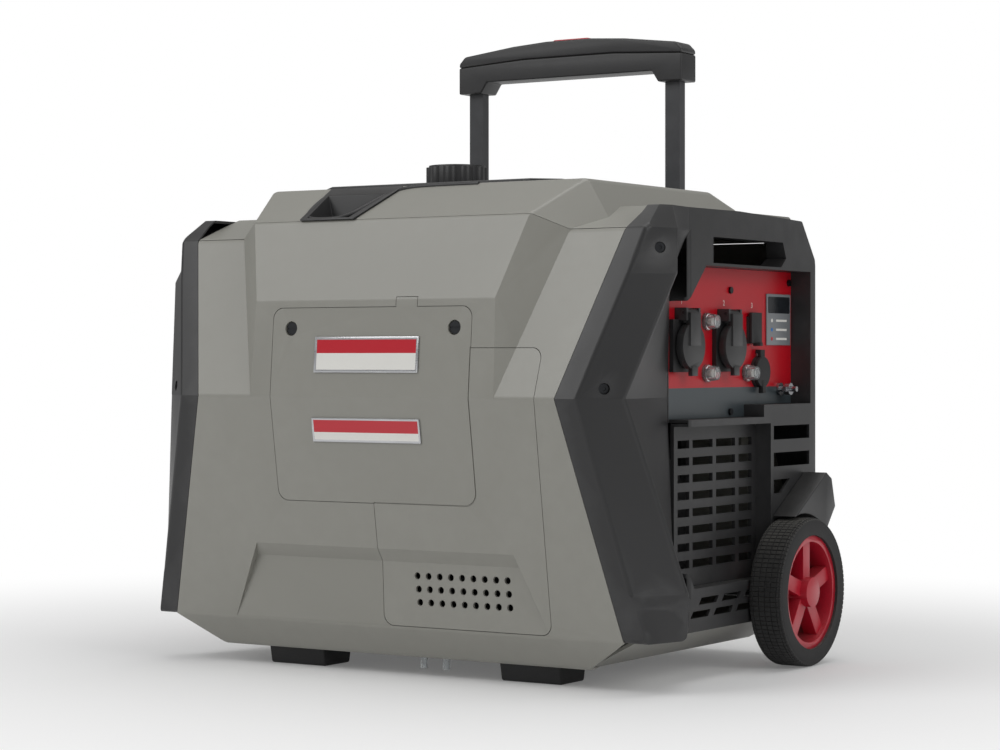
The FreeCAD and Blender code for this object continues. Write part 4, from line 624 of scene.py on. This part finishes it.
def make_slab(name, low, high, rounding, finish, body, edge):
    """Thin plate between two corners, its outline rounded and its rim eased."""
    bpy.ops.object.select_all(action="DESELECT")
    low, high = Vector(low), Vector(high)
    bpy.ops.mesh.primitive_cube_add(size=1, location=(low + high) / 2)
    piece = bpy.context.object
    piece.name = name
    piece.scale = high - low
    close(piece)
    thin = min(range(3), key=lambda axis: (high - low)[axis])
    pick(piece, "EDGE", lambda mesh, side: abs(
        mesh.vertices[side.vertices[0]].co[thin] - mesh.vertices[side.vertices[1]].co[thin]) > SLACK)
    bpy.ops.mesh.bevel(offset=rounding, segments=OUTLINE_STEPS)
    close(piece)
    bevel(piece, edge, RIM_STEPS, RIM_TURN)
    close(piece)
    piece.data.materials.append(FINISHES[finish])
    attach(piece, body)


def panel_mark(name, centre, size, finish, rounding):
    """Small raised mark on the indicator plate's face, by its middle and its width and height."""
    face, across, level = centre
    width, height = size
    low = (face - MARK_SUNK, across - width / 2, level - height / 2)
    high = (face + MARK_PROUD, across + width / 2, level + height / 2)
    make_slab(name, low, high, rounding, finish, "housing", MARK_EDGE)


WINDOW_DROP, WINDOW_HEIGHT, WINDOW_MARGIN, WINDOW_ROUNDING = 12 * MM, 18 * MM, 6 * MM, 2 * MM
LAMP_INSET, LAMP_SIZE, LAMP_ROUNDING = 12 * MM, (4 * MM, 4 * MM), 1.8 * MM
BAR_INSET, BAR_SIZE, BAR_ROUNDING = 35 * MM, (26 * MM, 2.4 * MM), 1 * MM
LAMP_FINISHES = ("field_white", "mark_blue", "field_red")
FIRST_ROW, ROW_STEP = 29, 10


def make_indicator():
    """Dark window, and under it three plain lamps with a bar beside each, on the indicator plate."""
    low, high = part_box("indicator_plate")
    width = high.y - low.y
    halfway = (low.y + high.y) / 2
    panel_mark("indicator_window", (high.x, halfway, high.z - WINDOW_DROP),
               (width - WINDOW_MARGIN, WINDOW_HEIGHT), "window_dark", WINDOW_ROUNDING)
    for row, finish in enumerate(LAMP_FINISHES):
        level = high.z - (FIRST_ROW + ROW_STEP * row) * MM
        panel_mark(f"indicator_lamp_{row + 1}", (high.x, low.y + LAMP_INSET, level), LAMP_SIZE, finish,
                   LAMP_ROUNDING)
        panel_mark(f"indicator_bar_{row + 1}", (high.x, low.y + BAR_INSET, level), BAR_SIZE,
                   "field_white", BAR_ROUNDING)


PLATE_FINISHES = ("plate_silver", "field_white", "field_red")
FIELD, BAND = 1, 2
PLATE_EDGE, FIELD_DEPTH = 0.5 * MM, 0.3 * MM
LEAST_FIELD = 500 * MM * MM
FRONT_NORMAL = -0.9

# Whether it is the upper plate, how wide its frame is and how much of its field is banded.
PLATE_ROWS = ((True, 2.5 * MM, 0.45), (False, 1.8 * MM, 0.62))


def paint(piece, index):
    """Gives the selected faces one of the piece's materials."""
    piece.active_material_index = index
    bpy.ops.object.material_slot_assign()


def make_name_plates():
    """Brushed frames with plain coloured fields, on the service cover's slope."""
    plates = merged_copy("name_plates", "framed_plates")
    bevel(plates, PLATE_EDGE, RIM_STEPS, RIM_TURN)
    close(plates)
    plates.data.materials.clear()
    for finish in PLATE_FINISHES:
        plates.data.materials.append(FINISHES[finish])
    split = sum(corner.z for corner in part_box("name_plates")) / 2
    for upper, border, band in PLATE_ROWS:
        pick(plates, "FACE", lambda mesh, face: face.area > LEAST_FIELD and face.normal.y < FRONT_NORMAL
             and (face.center.z > split) == upper)
        bpy.ops.mesh.inset(thickness=border, depth=-FIELD_DEPTH)
        paint(plates, FIELD)
        bpy.ops.object.mode_set(mode="OBJECT")
        field = [face for face in plates.data.polygons if face.select]
        heights = [plates.data.vertices[index].co.z for face in field for index in face.vertices]
        level = max(heights) - band * (max(heights) - min(heights))
        pick(plates, "FACE", lambda mesh, face: face.material_index == FIELD
             and (face.center.z > split) == upper)
        bpy.ops.mesh.bisect(plane_co=(0, 0, level), plane_no=(0, 0, 1))
        close(plates)
        pick(plates, "FACE", lambda mesh, face: face.material_index == FIELD
             and (face.center.z > split) == upper and face.center.z > level)
        paint(plates, BAND)
        close(plates)
    adopt(plates, "name_plates")


make_name_plates()
make_indicator()


NUMERAL_SIZE, NUMERAL_GAP, NUMERAL_PROUD = 8 * MM, 5 * MM, 0.1 * MM
NUMBERED = ("socket_lid_1", "socket_lid_2", "usb_cover")


def make_numeral(text, y, z):
    """Plain raised numeral above an outlet."""
    bpy.ops.object.select_all(action="DESELECT")
    bpy.ops.object.text_add(location=(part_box("control_panel")[1].x, y, z),
                            rotation=(math.radians(90), 0, math.radians(90)))
    label = bpy.context.object
    label.name = "outlet_numeral_" + text
    label.data.body, label.data.size, label.data.align_x = text, NUMERAL_SIZE, "CENTER"
    label.data.extrude = NUMERAL_PROUD
    bpy.ops.object.convert(target="MESH")
    piece = bpy.context.object
    close(piece)
    piece.data.materials.clear()
    piece.data.materials.append(FINISHES["field_white"])
    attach(piece, "housing")


for number, node in enumerate(NUMBERED, 1):
    low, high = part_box(node)
    make_numeral(str(number), (low.y + high.y) / 2, high.z + NUMERAL_GAP)


# ---------------------------------------------------------------- carry grip's lip

# X and Z of the lip's middle line, then Y and Z of the slope it lies on, all in millimetres.
LIP_ROUTE = ((-96, 512), (-110, 510), (-116.5, 503), (-117, 492), (-113, 482), (-102, 477.5),
             (-82, 477), (-66, 477.5), (-56, 481), (-48, 489), (-41, 498), (-33, 506), (-22, 510.5),
             (-6, 512.5), (30, 513), (70, 513))
SLOPE_FOOT, SLOPE_TOP = (-192, 476), (-127, 513)
LIP_RADIUS, LIP_STEPS, LIP_TURN = 2.4 * MM, 4, 60
LIP_ORDER = 3


def slope_y(z):
    """Depth of the crown's front slope at a height, in millimetres."""
    share = (z - SLOPE_FOOT[1]) / (SLOPE_TOP[1] - SLOPE_FOOT[1])
    return SLOPE_FOOT[0] + share * (SLOPE_TOP[0] - SLOPE_FOOT[0])


def make_lip():
    """Rounded lip round the grip's pocket, sweeping up and on along the crown's front edge."""
    bpy.ops.object.select_all(action="DESELECT")
    bpy.ops.curve.primitive_nurbs_path_add()
    route = bpy.context.object
    route.name = "carry_grip_lip"
    spline = route.data.splines[0]
    spline.points.add(len(LIP_ROUTE) - len(spline.points))
    for point, (x, z) in zip(spline.points, LIP_ROUTE):
        point.co = (x * MM, slope_y(z) * MM, z * MM, 1)
    spline.order_u, spline.use_endpoint_u = LIP_ORDER, True
    route.data.bevel_depth, route.data.bevel_resolution = LIP_RADIUS, LIP_STEPS
    route.data.use_fill_caps = True
    bpy.ops.object.convert(target="MESH")
    piece = close(bpy.context.object, LIP_TURN)
    piece.data.materials.clear()
    piece.data.materials.append(FINISHES["black_plastic"])
    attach(piece, "housing")


make_lip()
